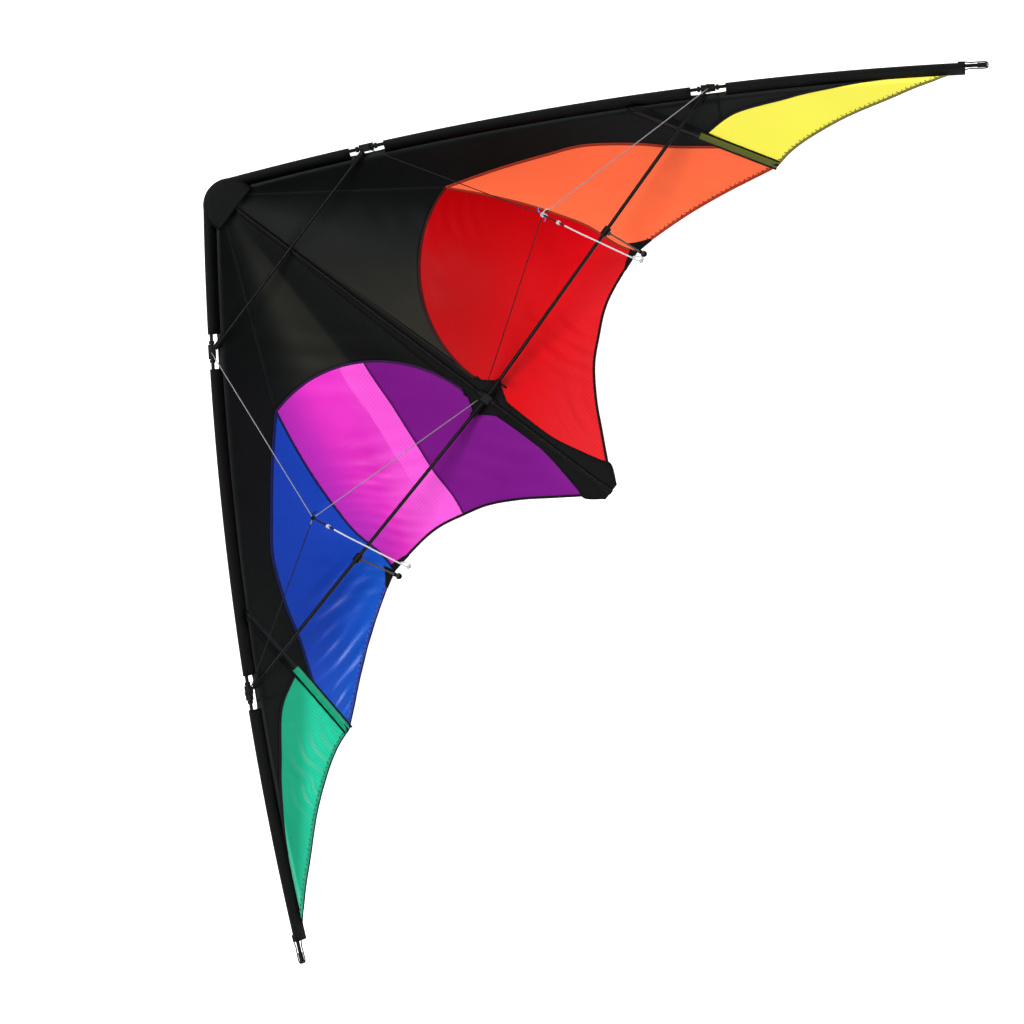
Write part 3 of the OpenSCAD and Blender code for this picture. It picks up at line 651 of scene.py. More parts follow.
# ---------------------------------------------------------------------------------------------- meshes
class Workshop:
    """Turns grids and paths in kite coordinates into finished pieces, and fixes them to their bodies."""

    def __init__(self, axes: KiteAxes, sail: SailShape) -> None:
        """Keeps the kite's directions and the sail's shape."""
        self.axes = axes
        self.sail = sail
        self.pieces: list[bpy.types.Object] = []

    def mesh(self, name: str, points: np.ndarray, faces: list[tuple[int, ...]], uv: np.ndarray,
             finish: Finish) -> bpy.types.Object:
        """Makes a smooth mesh.

        Args:
            name: the piece's name.
            points: its points in kite coordinates.
            faces: its faces, as indices of points.
            uv: one place on the UV map for each point, in metres.
            finish: its surface.

        Returns:
            The new object.
        """
        data = bpy.data.meshes.new(name)
        data.from_pydata([tuple(p) for p in self.axes.row(points)], [], faces)
        layer = data.uv_layers.new(name="cut")
        corners = np.array([loop.vertex_index for loop in data.loops])
        layer.data.foreach_set("uv", np.asarray(uv, float)[corners].astype(np.float32).ravel())
        tool = bmesh.new()
        tool.from_mesh(data)
        bmesh.ops.remove_doubles(tool, verts=tool.verts, dist=2e-6)
        bmesh.ops.dissolve_degenerate(tool, edges=tool.edges, dist=1e-6)
        tool.to_mesh(data)
        tool.free()
        data.polygons.foreach_set("use_smooth", [True] * len(data.polygons))
        data.materials.append(finish.material())
        made = bpy.data.objects.new(name, data)
        bpy.context.scene.collection.objects.link(made)
        self.pieces.append(made)
        return made

    def grid(self, name: str, points: np.ndarray, finish: Finish, wall: float, uv: np.ndarray | None = None,
             wrap: bool = False, offset: float = 0.0) -> bpy.types.Object:
        """Makes a sheet from a grid of points.

        Args:
            name: the piece's name.
            points: rows by columns of kite coordinates.
            finish: its surface.
            wall: its thickness, or 0 for a closed skin.
            uv: a place on the UV map for each point; the points' own (x, d) if none is given.
            wrap: whether each row closes on itself.
            offset: where the wall lies, from -1 behind the sheet to 1 in front.

        Returns:
            The new object.
        """
        rows, cols = points.shape[:2]
        last = cols if wrap else cols - 1
        faces = [(i * cols + j, i * cols + (j + 1) % cols, (i + 1) * cols + (j + 1) % cols,
                  (i + 1) * cols + j)
                 for i in range(rows - 1) for j in range(last)]
        flat = points[..., :2] if uv is None else uv
        made = self.mesh(name, points.reshape(-1, 3), faces, flat.reshape(-1, 2), finish)
        if wall:
            thick = made.modifiers.new("wall", "SOLIDIFY")
            thick.thickness = wall
            thick.offset = offset
        return made

    def tube(self, name: str, path: np.ndarray, radius: float | np.ndarray, finish: Finish, sides: int = 8,
             closed: bool = False) -> bpy.types.Object:
        """Makes a round cord or rod along a path.

        Args:
            name: the piece's name.
            path: its centre line in kite coordinates.
            radius: its radius, or one for each point.
            finish: its surface.
            sides: how many faces go round it.
            closed: whether the path closes on itself.

        Returns:
            The new object.
        """
        path = np.asarray(path, float)
        n = len(path)
        heading = (np.roll(path, -1, 0) - np.roll(path, 1, 0)) if closed else np.gradient(path, axis=0)
        heading /= np.linalg.norm(heading, axis=1)[:, None]
        side = np.cross(heading[0], [0.31, 0.52, 0.79])
        sides_at = []
        for h in heading:
            side = side - h * np.dot(side, h)
            side /= np.linalg.norm(side)
            sides_at.append(side)
        a = np.array(sides_at)
        b = np.cross(heading, a)
        turn = np.arange(sides) * math.tau / sides
        radii = np.broadcast_to(np.asarray(radius, float), (n,))[:, None, None]
        ring = a[:, None] * np.cos(turn)[None, :, None] + b[:, None] * np.sin(turn)[None, :, None]
        points = path[:, None] + ring * radii
        run = np.concatenate([[0], np.cumsum(np.linalg.norm(np.diff(path, axis=0), axis=1))])
        uv = np.stack(np.broadcast_arrays(run[:, None], turn[None] * np.mean(radius)), axis=-1)
        faces = [(i * sides + j, i * sides + (j + 1) % sides, (i + 1) % n * sides + (j + 1) % sides,
                  (i + 1) % n * sides + j) for i in range(n if closed else n - 1) for j in range(sides)]
        if not closed:
            faces += [tuple(range(sides))[::-1], tuple((n - 1) * sides + j for j in range(sides))]
        return self.mesh(name, points.reshape(-1, 3), faces, uv.reshape(-1, 2), finish)

    def join(self, name: str, parts: list[bpy.types.Object]) -> bpy.types.Object:
        """Makes one piece of several meshes."""
        for part in parts[1:]:
            self.pieces.remove(part)
        bpy.ops.object.select_all(action="DESELECT")
        for part in parts:
            part.select_set(True)
        bpy.context.view_layer.objects.active = parts[0]
        bpy.ops.object.join()
        parts[0].name = name
        parts[0].data.name = name
        return parts[0]

    def kite_points(self, piece: bpy.types.Object) -> np.ndarray:
        """The piece's points, back in kite coordinates."""
        co = np.empty(len(piece.data.vertices) * 3)
        piece.data.vertices.foreach_get("co", co)
        off = co.reshape(-1, 3) - self.axes.origin
        return np.stack([off @ self.axes.across, -(off @ self.axes.noseward), off @ self.axes.front], axis=-1)

    def fix(self, piece: bpy.types.Object, side: Side | None = None) -> None:
        """Fixes a piece of the sail to the frame or to a wing; a piece that reaches across the gather is only
        baked in place.
        """
        if side is None:
            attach(piece, "frame")
            return
        places = self.kite_points(piece)
        share = self.sail.share(places[:, 0], places[:, 1])
        if share.min() > 0.999:
            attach(piece, side.wing)
        elif share.max() < 0.001:
            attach(piece, "frame")
        else:
            self.gather(piece, "frame", side.wing, share)

    def gather(self, piece: bpy.types.Object, first: str, second: str, share: np.ndarray) -> None:
        """Bakes a piece's place into its mesh; it is neither bent nor attached to a body."""
        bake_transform(piece)


def coons(near: Edge, far: Edge, low: Edge, high: Edge, u: np.ndarray, v: np.ndarray) -> np.ndarray:
    """Fills a patch between four edges.

    Args:
        near: the edge at v = 0, read by u.
        far: the edge at v = 1, read by u.
        low: the edge at u = 0, read by v.
        high: the edge at u = 1, read by v.
        u: how far across each point is.
        v: how far down each point is.

    Returns:
        A point (x, d) for each pair.
    """
    uu, vv = u[..., None], v[..., None]
    ends = [near(np.array([0.0, 1.0])), far(np.array([0.0, 1.0]))]
    ruled = near(u) * (1 - vv) + far(u) * vv + low(v) * (1 - uu) + high(v) * uu
    twist = ((ends[0][0] * (1 - uu) + ends[0][1] * uu) * (1 - vv)
             + (ends[1][0] * (1 - uu) + ends[1][1] * uu) * vv)
    return ruled - twist


def smooth(value: np.ndarray, low: float, high: float) -> np.ndarray:
    """A soft step from 0 at low to 1 at high."""
    t = np.clip((value - low) / (high - low), 0, 1)
    return t * t * (3 - 2 * t)


# ------------------------------------------------------------------------------------------- stitching
class StitchTool:
    """Sews rows of thread along lines with a Geometry Nodes tree."""

    INPUTS = {"Pitch": 0.005, "Length": 0.004, "Thickness": 0.0007, "Slant": 0.0}

    def __init__(self) -> None:
        """Builds the tree once."""
        tree = bpy.data.node_groups.new("stitch rows", "GeometryNodeTree")
        tree.interface.new_socket("Lines", in_out="INPUT", socket_type="NodeSocketGeometry")
        for label, value in self.INPUTS.items():
            tree.interface.new_socket(label, in_out="INPUT",
                                      socket_type="NodeSocketFloat").default_value = value
        tree.interface.new_socket("Cloth Front", in_out="INPUT", socket_type="NodeSocketVector")
        tree.interface.new_socket("Thread", in_out="INPUT", socket_type="NodeSocketMaterial")
        tree.interface.new_socket("Stitches", in_out="OUTPUT", socket_type="NodeSocketGeometry")
        sheet = NodeSheet(tree)
        given = sheet.node("NodeGroupInput")
        lines = sheet.node("GeometryNodeMeshToCurve", Mesh=given.outputs["Lines"])
        rows = sheet.node("GeometryNodeResampleCurve", set_mode="LENGTH", Curve=lines.outputs["Curve"],
                          Length=given.outputs["Pitch"])
        parity = sheet.math("FLOORED_MODULO", sheet.node("GeometryNodeInputIndex").outputs[0], 2.0)
        swing = sheet.math("MULTIPLY", sheet.math("MULTIPLY_ADD", parity, 2.0, -1.0), given.outputs["Slant"])
        upright = sheet.node("FunctionNodeAlignRotationToVector", set_axis="Z",
                             Vector=given.outputs["Cloth Front"])
        along = sheet.node("FunctionNodeAlignRotationToVector", set_axis="X", set_pivot_axis="Z",
                           Rotation=upright.outputs[0],
                           Vector=sheet.node("GeometryNodeInputTangent").outputs["Tangent"])
        turn = sheet.node("FunctionNodeAxisAngleToRotation", Axis=(0.0, 0.0, 1.0), Angle=swing)
        turned = sheet.node("FunctionNodeRotateRotation", set_rotation_space="LOCAL",
                            Rotation=along.outputs[0], Rotate_By=turn.outputs[0])
        size = sheet.node("ShaderNodeCombineXYZ", X=given.outputs["Length"], Y=given.outputs["Thickness"],
                          Z=given.outputs["Thickness"])
        grain = sheet.node("GeometryNodeMeshIcoSphere", Radius=0.5, Subdivisions=1)
        placed = sheet.node("GeometryNodeInstanceOnPoints", Points=rows.outputs["Curve"],
                            Instance=grain.outputs["Mesh"], Rotation=turned.outputs[0], Scale=size.outputs[0])
        real = sheet.node("GeometryNodeRealizeInstances", Geometry=placed.outputs["Instances"])
        dressed = sheet.node("GeometryNodeSetMaterial", Geometry=real.outputs[0],
                             Material=given.outputs["Thread"])
        sheet.node("NodeGroupOutput", Stitches=dressed.outputs["Geometry"])
        self.tree = tree

    def sew(self, shop: Workshop, name: str, rows: list[np.ndarray], finish: Finish,
            **sizes: float) -> bpy.types.Object:
        """Sews stitches along rows.

        Args:
            shop: the workshop that places the piece.
            name: the piece's name.
            rows: lines in kite coordinates.
            finish: the thread's surface.
            sizes: values for the tree's inputs, by name.

        Returns:
            The stitches, as a plain mesh.
        """
        points = np.concatenate(rows)
        edges = []
        start = 0
        for row in rows:
            edges += [(start + i, start + i + 1) for i in range(len(row) - 1)]
            start += len(row)
        data = bpy.data.meshes.new(name + " rows")
        data.from_pydata([tuple(p) for p in shop.axes.row(points)], edges, [])
        guide = bpy.data.objects.new(name + " rows", data)
        bpy.context.scene.collection.objects.link(guide)
        tool = guide.modifiers.new("stitch", "NODES")
        tool.node_group = self.tree
        values = {**sizes, "Cloth Front": tuple(shop.axes.front), "Thread": finish.material()}
        for item in self.tree.interface.items_tree:
            if item.in_out == "INPUT" and item.name in values:
                tool[item.identifier] = values[item.name]
        bpy.context.view_layer.update()
        graph = bpy.context.evaluated_depsgraph_get()
        made_mesh = bpy.data.meshes.new_from_object(guide.evaluated_get(graph))
        bpy.data.objects.remove(guide)
        made_mesh.name = name
        if not made_mesh.materials:
            made_mesh.materials.append(finish.material())
        made = bpy.data.objects.new(name, made_mesh)
        bpy.context.scene.collection.objects.link(made)
        shop.pieces.append(made)
        LOG.info("%s: %d faces", name, len(made_mesh.polygons))
        return made


# ------------------------------------------------------------------------------------------------ sail
@dataclass
class Panel:
    """A panel of cloth on one side of the kite."""

    name: str
    side: Side
    finish: Finish
    plan: Callable[[np.ndarray, np.ndarray], np.ndarray]
    rows: int
    cols: int
    # A panel's tone blends its cloth towards the pale colour above 0 and the deep colour below 0; the sail's
    # panels use it for painted light and shade.
    tone: Edge = lambda p: 0 * p[..., 0]
    back: float = 0.0

    def points(self, sail: SailShape) -> np.ndarray:
        """The panel's grid in kite coordinates."""
        u, v = np.meshgrid(np.linspace(0, 1, self.rows + 1), np.linspace(0, 1, self.cols + 1), indexing="ij")
        flat = self.plan(u, v) * np.array([self.side.value, 1.0])
        return sail.place(flat, -self.back)


@dataclass
class Sail:
    """The eleven panels of cloth, with painted light and shade in their tone and a painted lit strip on the
    magenta one.
    """

    shop: Workshop
    seams: SeamPlan = SeamPlan()
    edge: LeadingEdge = LeadingEdge()
    cloth: float = 0.00025
    split: tuple[float, float] = (0.50, 0.56)
    hidden_inset: float = 0.0085
    window_inset: float = 0.0092
    window_half: float = 0.029
    under_seam: float = 0.0006
    objects: dict[str, bpy.types.Object] = field(default_factory=dict)

    def centre(self, u: np.ndarray, v: np.ndarray) -> np.ndarray:
        """A black panel between the nose and the curved seam."""
        start = self.seams.start
        return self.seams.inner(v) * (start + (1 - start) * u)[..., None]

    def inner(self, first: tuple[float, float], last: tuple[float, float]) -> Edge:
        """Part of the panel between the curved seam and the hem.

        Args:
            first: where the part starts, on the seam and on the hem.
            last: where it ends, on the seam and on the hem.

        Returns:
            The part's plan.
        """
        s = self.seams

        def plan(u: np.ndarray, v: np.ndarray) -> np.ndarray:
            """Reads the part at u and v."""
            low = first[0] + (first[1] - first[0]) * v
            high = last[0] + (last[1] - last[0]) * v
            return coons(s.inner, s.inner_hem, s.keel, s.ridge, low + (high - low) * u, v)
        return plan

    def outer(self, u: np.ndarray, v: np.ndarray) -> np.ndarray:
        """The panel between the ridge seam and the batten."""
        s = self.seams
        corner = np.array(s.corner)
        return coons(s.ridge, s.outer, lambda t: corner + 0 * np.asarray(t)[..., None], s.outer_hem, u, v)

    def tip(self, u: np.ndarray, v: np.ndarray) -> np.ndarray:
        """The panel at the wing tip."""
        s = self.seams
        return s.tip(u) * (1 - v)[..., None] + s.tip_hem(u) * v[..., None]

    def edge_inset(self, s: np.ndarray) -> np.ndarray:
        """How far the cloth stays from the spar's centre line, with a window at each connector."""
        gap = np.zeros_like(s)
        for at in (self.edge.upper_at, self.edge.lower_at):
            gap = np.maximum(gap, 1 - smooth(np.abs(s - at), self.window_half - 0.006, self.window_half))
        return self.hidden_inset + (self.window_inset - self.hidden_inset) * gap

    def along_edge(self, u: np.ndarray, v: np.ndarray) -> np.ndarray:
        """The black panel between the leading edge and the seams."""
        side = self.seams.edge_side()
        run = np.concatenate([[0], np.cumsum(np.linalg.norm(np.diff(side, axis=0), axis=1))])
        far = np.stack([np.interp(u * run[-1], run, side[:, k]) for k in (0, 1)], axis=-1)
        s = np.clip(self.edge.nearest(far), 0.040, self.edge.length - self.edge.bare_tip - 0.004)
        near = self.edge.point(s, self.edge_inset(s))
        return near * (1 - v)[..., None] + far * v[..., None]

    def magenta_tone(self, p: np.ndarray) -> np.ndarray:
        """Painted light beside the purple panel and towards the hem, painted shade along the ridge."""
        ridge = self.seams.ridge(np.linspace(0, 1, 60))
        split = coons(self.seams.inner, self.seams.inner_hem, self.seams.keel, self.seams.ridge,
                      0.50 + 0.06 * np.linspace(0, 1, 60), np.linspace(0, 1, 60))
        to_ridge, to_split = (np.linalg.norm(p[..., None, :] - line, axis=-1).min(axis=-1)
                              for line in (ridge, split))
        down = smooth(p[..., 1], 0.42, 0.60)
        strip = 1 - smooth(to_split, 0.0415, 0.0430)
        fade = (0.15 + 0.75 * down) * (1 - smooth(to_split, 0.043, 0.075 + 0.065 * down))
        pale = np.maximum(strip * (0.75 + 0.25 * down), fade)
        deep = (1 - smooth(to_ridge, 0.006, 0.080)) * (1 - 0.75 * smooth(p[..., 1], 0.54, 0.60))
        return np.clip(pale, 0, 1) - deep * (1 - pale)

    @staticmethod
    def left_tone(p: np.ndarray) -> np.ndarray:
        """A painted shadow wedge beside the spine that widens from the nose, and a band of painted light past
        it.
        """
        angle = np.degrees(np.arctan2(p[..., 0], p[..., 1]))
        wedge = (1 - smooth(angle, 13.0, 16.5)) * smooth(p[..., 1], 0.03, 0.10)
        band = smooth(angle, 13.0, 17.0) * (1 - smooth(angle, 24, 36)) * smooth(p[..., 1], 0.05, 0.16)
        return 0.75 * band - 0.95 * wedge

    @staticmethod
    def right_tone(p: np.ndarray) -> np.ndarray:
        """A band of painted light beside the spine, stronger towards the tee."""
        angle = np.degrees(np.arctan2(p[..., 0], p[..., 1]))
        return (1 - smooth(angle, 9, 25)) * smooth(p[..., 1], 0.10, 0.42)

    def panels(self) -> list[Panel]:
        """The plans of all the panels."""
        whole = ((0.0, 0.0), (1.0, 1.0))
        left, right = Side.LEFT, Side.RIGHT
        # Purple: painted shade towards the nose and painted light towards the hem.
        made = [Panel("purple_panel", left, CLOTH_PURPLE, self.inner((0.0, 0.0), self.split), 44, 56,
                      lambda p: 0.8 * smooth(p[..., 1], 0.52, 0.76) - 0.5),
                Panel("magenta_panel", left, CLOTH_MAGENTA, self.inner(self.split, (1.0, 1.0)), 64, 64,
                      self.magenta_tone),
                # Red: painted shade towards the nose and painted light towards the tail.
                Panel("red_panel", right, CLOTH_RED, self.inner(*whole), 90, 62,
                      lambda p: 1.6 * smooth(p[..., 1] + 0.25 * p[..., 0], 0.42, 0.80) - 0.8),
                # Blue: painted light towards the trailing edge and painted shade further in.
                Panel("blue_panel", left, CLOTH_BLUE, self.outer, 96, 60,
                      lambda p: 1.2 * smooth(p[..., 1] - 0.35 * p[..., 0], 0.36, 0.52) - 0.3),
                Panel("orange_panel", right, CLOTH_ORANGE, self.outer, 70, 40),
                # Green: painted light along the trailing edge and painted shade further in.
                Panel("green_panel", left, CLOTH_GREEN, self.tip, 110, 36,
                      lambda p: 1.2 * smooth(p[..., 1] - 0.72 * p[..., 0], 0.175, 0.215) - 0.25),
                Panel("yellow_panel", right, CLOTH_YELLOW, self.tip, 70, 24)]
        for side in Side:
            made.append(Panel(f"{side.word}_centre_panel", side, CLOTH_BLACK, self.centre, 50, 60,
                              self.left_tone if side is left else self.right_tone, 0.0003))
            made.append(Panel(f"{side.word}_edge_panel", side, CLOTH_BLACK, self.along_edge, 240, 20,
                              lambda p: 0 * p[..., 0] - 0.2, self.under_seam))
        return made

    def build(self) -> None:
        for panel in self.panels():
            points = panel.points(self.shop.sail)
            piece = self.shop.grid(panel.name + "_cloth", points, panel.finish, self.cloth)
            # The tone attribute carries the panel's painted light and shade.
            tone = piece.data.attributes.new("tone", "FLOAT", "POINT")
            places = self.shop.kite_points(piece)[:, :2] * np.array([panel.side.value, 1.0])
            tone.data.foreach_set("value", panel.tone(places).astype(np.float32))
            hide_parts(panel.name)
            flat = points[..., :2].reshape(-1, 2)
            area = self.area(points)
            self.shop.fix(piece, panel.side)
            self.objects[panel.name] = piece
            LOG.info("%s: %.3f m2 of cloth, %d points", panel.name, area, len(flat))

    @staticmethod
    def cut_size(points: np.ndarray, area: float) -> tuple[float, float]:
        """The length and width of the cloth that a panel is cut from."""
        _, _, directions = np.linalg.svd(points - points.mean(axis=0), full_matrices=False)
        length, width = (float(np.ptp(points @ direction)) for direction in directions[:2])
        grow = max(1.0, math.sqrt(1.01 * area / (length * width)))
        return length * grow, width * grow

    @staticmethod
    def area(points: np.ndarray) -> float:
        """The area of a grid of points."""
        a = points[1:, 1:] - points[:-1, :-1]
        b = points[1:, :-1] - points[:-1, 1:]
        return float(np.linalg.norm(np.cross(a, b), axis=-1).sum() / 2)


@dataclass
class SeamWork:
    """Seam tapes, hems, patches, the keel strip and the stitches that hold them."""

    shop: Workshop
    seams: SeamPlan
    stitches: StitchTool
    tape: float = 0.005
    hem: float = 0.0060
    inner_width: float = 0.0032
    thick: float = 0.0009

    def strip(self, name: str, line: np.ndarray, low: float | np.ndarray, high: float | np.ndarray,
              finish: Finish,
              side: Side | None, thick: float | None = None, lift: float = 0.0,
              across: int = 3) -> bpy.types.Object:
        """Lays a strip along a line on the sail.

        Args:
            name: the piece's name.
            line: the line, as (x, d) points of the right half.
            low: how far the strip reaches to one side of it.
            high: how far it reaches to the other, tailwards, side.
            finish: its surface.
            side: the wing that it is on, or None for a strip on the spine.
            thick: its thickness, if not a tape's.
            lift: how far it stands in front of the cloth.
            across: how many faces it has across its width.

        Returns:
            The new piece.
        """
        run = np.gradient(line, axis=0)
        run /= np.linalg.norm(run, axis=1)[:, None]
        normal = np.stack([-run[:, 1], run[:, 0]], axis=1)
        span = np.linspace(0, 1, across + 1)[None, :, None]
        n = len(line)
        lows = np.broadcast_to(np.asarray(low, float), (n,))[:, None, None]
        highs = np.broadcast_to(np.asarray(high, float), (n,))[:, None, None]
        offset = -lows + (lows + highs) * span
        flat = line[:, None] + normal[:, None] * offset
        length = np.concatenate([[0], np.cumsum(np.linalg.norm(np.diff(line, axis=0), axis=1))])
        uv = np.stack(np.broadcast_arrays(length[:, None], offset[..., 0]), axis=-1)
        flat = flat * np.array([side.value if side else 1.0, 1.0])
        piece = self.shop.grid(name, self.shop.sail.place(flat, lift), finish, thick or self.thick, uv)
        self.shop.fix(piece, side)
        return piece

    def tapes(self, side: Side) -> None:
        """Lays the seam tapes of one wing."""
        s = self.seams
        left = side is Side.LEFT
        u = np.linspace(0, 1, 80)
        nose = np.array(s.corner) * (s.start + (1 - s.start) * u)[:, None]
        half = self.tape / 2
        jobs = [("nose_seam", nose, SEAM_TAPE, half),
                ("inner_seam", s.inner(u), SEAM_PURPLE if left else SEAM_RED, half * 0.8),
                ("ridge_seam", s.ridge(u), SEAM_NAVY if left else SEAM_RUST, half * 0.8),
                ("outer_seam", s.outer(u * 0.72), SEAM_NAVY if left else SEAM_RUST, half * 0.8),
                ("tip_seam", s.tip(u), SEAM_TAPE, half * 0.8)]
        for name, line, finish, width in jobs:
            self.strip(f"{side.word}_{name}", line, width, width, finish, side)
        if left:
            v = np.linspace(0, 1, 60)
            split = coons(s.inner, s.inner_hem, s.keel, s.ridge, 0.50 + 0.06 * v, v)
            self.strip("left_split_seam", split, half * 0.5, half * 0.5, SEAM_PURPLE, side)

    def hems(self, side: Side) -> None:
        """Folds the trailing edge of one wing."""
        s = self.seams
        u = np.linspace(0, 1, 70)
        left = side is Side.LEFT
        jobs = [("inner_hem", s.inner_hem(u), self.inner_width, SEAM_TAPE),
                ("outer_hem", s.outer_hem(u), self.hem, HEM_BLUE if left else SEAM_RUST),
                ("tip_hem", s.tip_hem(u), self.hem, HEM_GREEN if left else HEM_OLIVE)]
        for name, line, width, finish in jobs:
            self.strip(f"{side.word}_{name}", line,
                       width if left or name == "inner_hem" else self.inner_width,
                       0.0004, finish, side, thick=0.0014)
            bound = SEAM_TAPE if left or name == "inner_hem" else finish
            self.strip(f"{side.word}_{name}_binding", line, 0.0012, 0.0009, bound, side, thick=0.0020,
                       across=2)

    def keel(self) -> None:
        """Lays the tape along the spine, the keel strip and the tail's doubled hem."""
        d = np.linspace(0.045, 0.525, 90)
        line = np.stack([0 * d, d], axis=1)
        width = 0.006 + 0.010 * smooth(d, 0.05, 0.50)
        self.strip("spine_tape", line, width, width, PATCH, None, across=6)
        # A thin pale strip beside the spine is a painted highlight of its lit edge.
        self.strip("spine_piping",
                   np.stack([0 * d + 0.0125 - 0.0065 * (1 - smooth(d, 0.05, 0.5)), d], axis=1),
                   0.0011, 0.0011, KEEL_PAINTED_HIGHLIGHT, None, thick=0.0022, across=2)
        half = through([(0.019, 0.518), (0.014, 0.600), (0.013, 0.660), (0.015, 0.690), (0.023, 0.730),
                        (0.031, 0.765), (0.036, 0.785), (0.015, 0.8125)], np.linspace(0, 1, 90))
        tail = np.stack([0 * half[:, 1], half[:, 1]], axis=1)
        piece = self.strip("keel_strip", tail, half[:, 0], half[:, 0], PATCH, None, thick=0.0018, across=8)
        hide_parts("keel_reinforcement")
        end = np.stack([np.linspace(-0.016, 0.016, 12), np.full(12, 0.809)], axis=1)
        self.strip("tail_hem", end, 0.007, 0.003, PATCH, None, thick=0.0035, lift=0.0003)

    def patches(self, side: Side) -> None:
        """Sews the doubled cloth at the standoff."""
        ridge = np.array(self.seams.ridge_end)
        u = np.linspace(0, 1, 16)
        hem = self.seams.outer_hem(u * 0.16)
        drop = 0.021 * (1 - 0.85 * u)
        self.strip(f"{side.word}_standoff_patch", hem, drop, 0.0014, PATCH, side, thick=0.0024, across=6)
        inner = self.seams.inner_hem(1 - u * 0.075)
        self.strip(f"{side.word}_standoff_lip", inner, 0.0014, 0.012 * np.sqrt(1 - u * 0.98), PATCH, side,
                   thick=0.0024, across=5)
        LOG.info("%s standoff patch at %s", side.word, ridge)

    def diamond(self) -> None:
        """Sews the four-pointed patch at the tee."""
        d = np.linspace(-1, 1, 41)
        half = 0.008 + 0.027 * (1 - np.abs(d)) ** 1.2
        line = np.stack([0 * d, 0.553 + 0.045 * d], axis=1)
        self.strip("tee_patch", line, half, half, PATCH, None, thick=0.0026, lift=0.0006, across=8)

    def pocket(self, side: Side) -> None:
        """Sews the batten's pocket over the batten, with its dark piping."""
        s = self.seams
        a, b = np.array(s.batten_nose), np.array(s.batten_tail)
        u = np.linspace(-0.01, 1.0, 70)[:, None]
        line = a * (1 - u) + b * u
        run = (b - a) / np.linalg.norm(b - a)
        normal = np.array([-run[1], run[0]])
        half = 0.0070
        cols = np.linspace(-1, 1, 13)
        flat = line[:, None] + normal * (cols * half)[None, :, None]
        flat = flat * np.array([side.value, 1.0])
        hump = 0.0042 * np.clip(1 - np.abs(cols / 0.62) ** 2.2, 0, 1) + 0.0006
        ends = np.clip(np.minimum(u[:, 0] + 0.01, 1.0 - u[:, 0]) / 0.02, 0.15, 1)
        points = self.shop.sail.place(flat, hump[None] * ends[:, None])
        finish = POCKET_GREEN if side is Side.LEFT else POCKET_OLIVE
        uv = np.stack(np.broadcast_arrays(u * np.linalg.norm(b - a), (cols * half)[None]), axis=-1)
        piece = self.shop.grid(f"{side.word}_batten_pocket", points, finish, 0.0005, uv)
        piece.data.materials.append(CLOTH_BLACK.material())
        for face in piece.data.polygons:
            if face.index // (len(cols) - 1) < len(u) * 0.47:
                face.material_index = 1
        self.shop.fix(piece, side)
        rod = self.shop.sail.place(line * np.array([side.value, 1.0]), 0.0022)
        batten = self.shop.tube(f"{side.word}_sail_batten", rod, 0.0014, ROD, 8)
        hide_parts(f"{side.word}_batten")
        self.shop.fix(batten, side)
        ends = rod[:5], rod[-5:]
        caps = [self.shop.tube("batten cap", end, np.array([0.0019, 0.0023, 0.0023, 0.0023, 0.0019]), VINYL,
                               10)
                for end in ends]
        cap = self.shop.join(f"{side.word}_batten_end_caps", caps)
        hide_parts(f"{side.word}_batten_caps")
        self.shop.fix(cap, side)
        for name, at in (("near", -1), ("far", 1)):
            rim = (line + normal * at * half)
            self.strip(f"{side.word}_pocket_{name}_piping", rim, 0.0013, 0.0013, SEAM_TAPE, side,
                       thick=0.0022,
                       across=2)

    def rows(self, line: np.ndarray, side: Side, shift: float, lift: float = 0.0008) -> np.ndarray:
        """A stitch row beside a line, in kite coordinates."""
        run = np.gradient(line, axis=0)
        run /= np.linalg.norm(run, axis=1)[:, None]
        moved = line + np.stack([-run[:, 1], run[:, 0]], axis=1) * shift
        return self.shop.sail.place(moved * np.array([side.value, 1.0]), lift)

    def sewing(self, side: Side, edge: LeadingEdge) -> None:
        """Sews every seam and hem of one wing."""
        s = self.seams
        u = np.linspace(0.02, 0.98, 90)
        nose = np.array(s.corner) * (0.12 + 0.86 * u)[:, None]
        soft = [self.rows(line, side, shift) for line in (s.inner(u), s.ridge(u))
                for shift in (-0.0012, 0.0012)]
        soft += [self.rows(s.outer_hem(u), side, -0.0035), self.rows(s.inner_hem(u), side, -0.0035)]
        firm = [self.rows(nose, side, shift) for shift in (-0.0016, 0.0016)]
        firm += [self.rows(line, side, shift) for line in (s.outer(u * 0.72), s.tip(u))
                 for shift in (-0.001, 0.001)]
        for name, rows in (("soft_seam", soft), ("firm_seam", firm)):
            piece = self.stitches.sew(self.shop, f"{side.word}_{name}_stitches", rows, THREAD_GREY,
                                      Pitch=0.0042, Length=0.0032, Thickness=0.0006, Slant=0.0)
            self.shop.fix(piece, side)
        ticks = [self.rows(line, side, -0.0048, 0.0010) for line in (s.outer_hem(u), s.tip_hem(u))]
        piece = self.stitches.sew(self.shop, f"{side.word}_hem_stitches", ticks, THREAD_BLACK, Pitch=0.0085,
                                  Length=0.0068, Thickness=0.0013, Slant=0.8)
        self.shop.fix(piece, side)
        s_run = np.linspace(0.06, edge.length - edge.bare_tip - 0.01, 160)
        line = edge.point(s_run, 0.0165)
        piece = self.stitches.sew(self.shop, f"{side.word}_sleeve_stitches",
                                  [self.rows(line, side, 0.0, 0.0006)],
                                  THREAD_GREY, Pitch=0.0046, Length=0.0034, Thickness=0.0006, Slant=0.0)
        self.shop.fix(piece, side)

    def build(self, edge: LeadingEdge) -> None:
        """Makes all the tapes, hems, patches and stitches."""
        self.keel()
        self.diamond()
        for side in Side:
            self.tapes(side)
            self.hems(side)
            self.patches(side)
            self.pocket(side)
            self.sewing(side, edge)


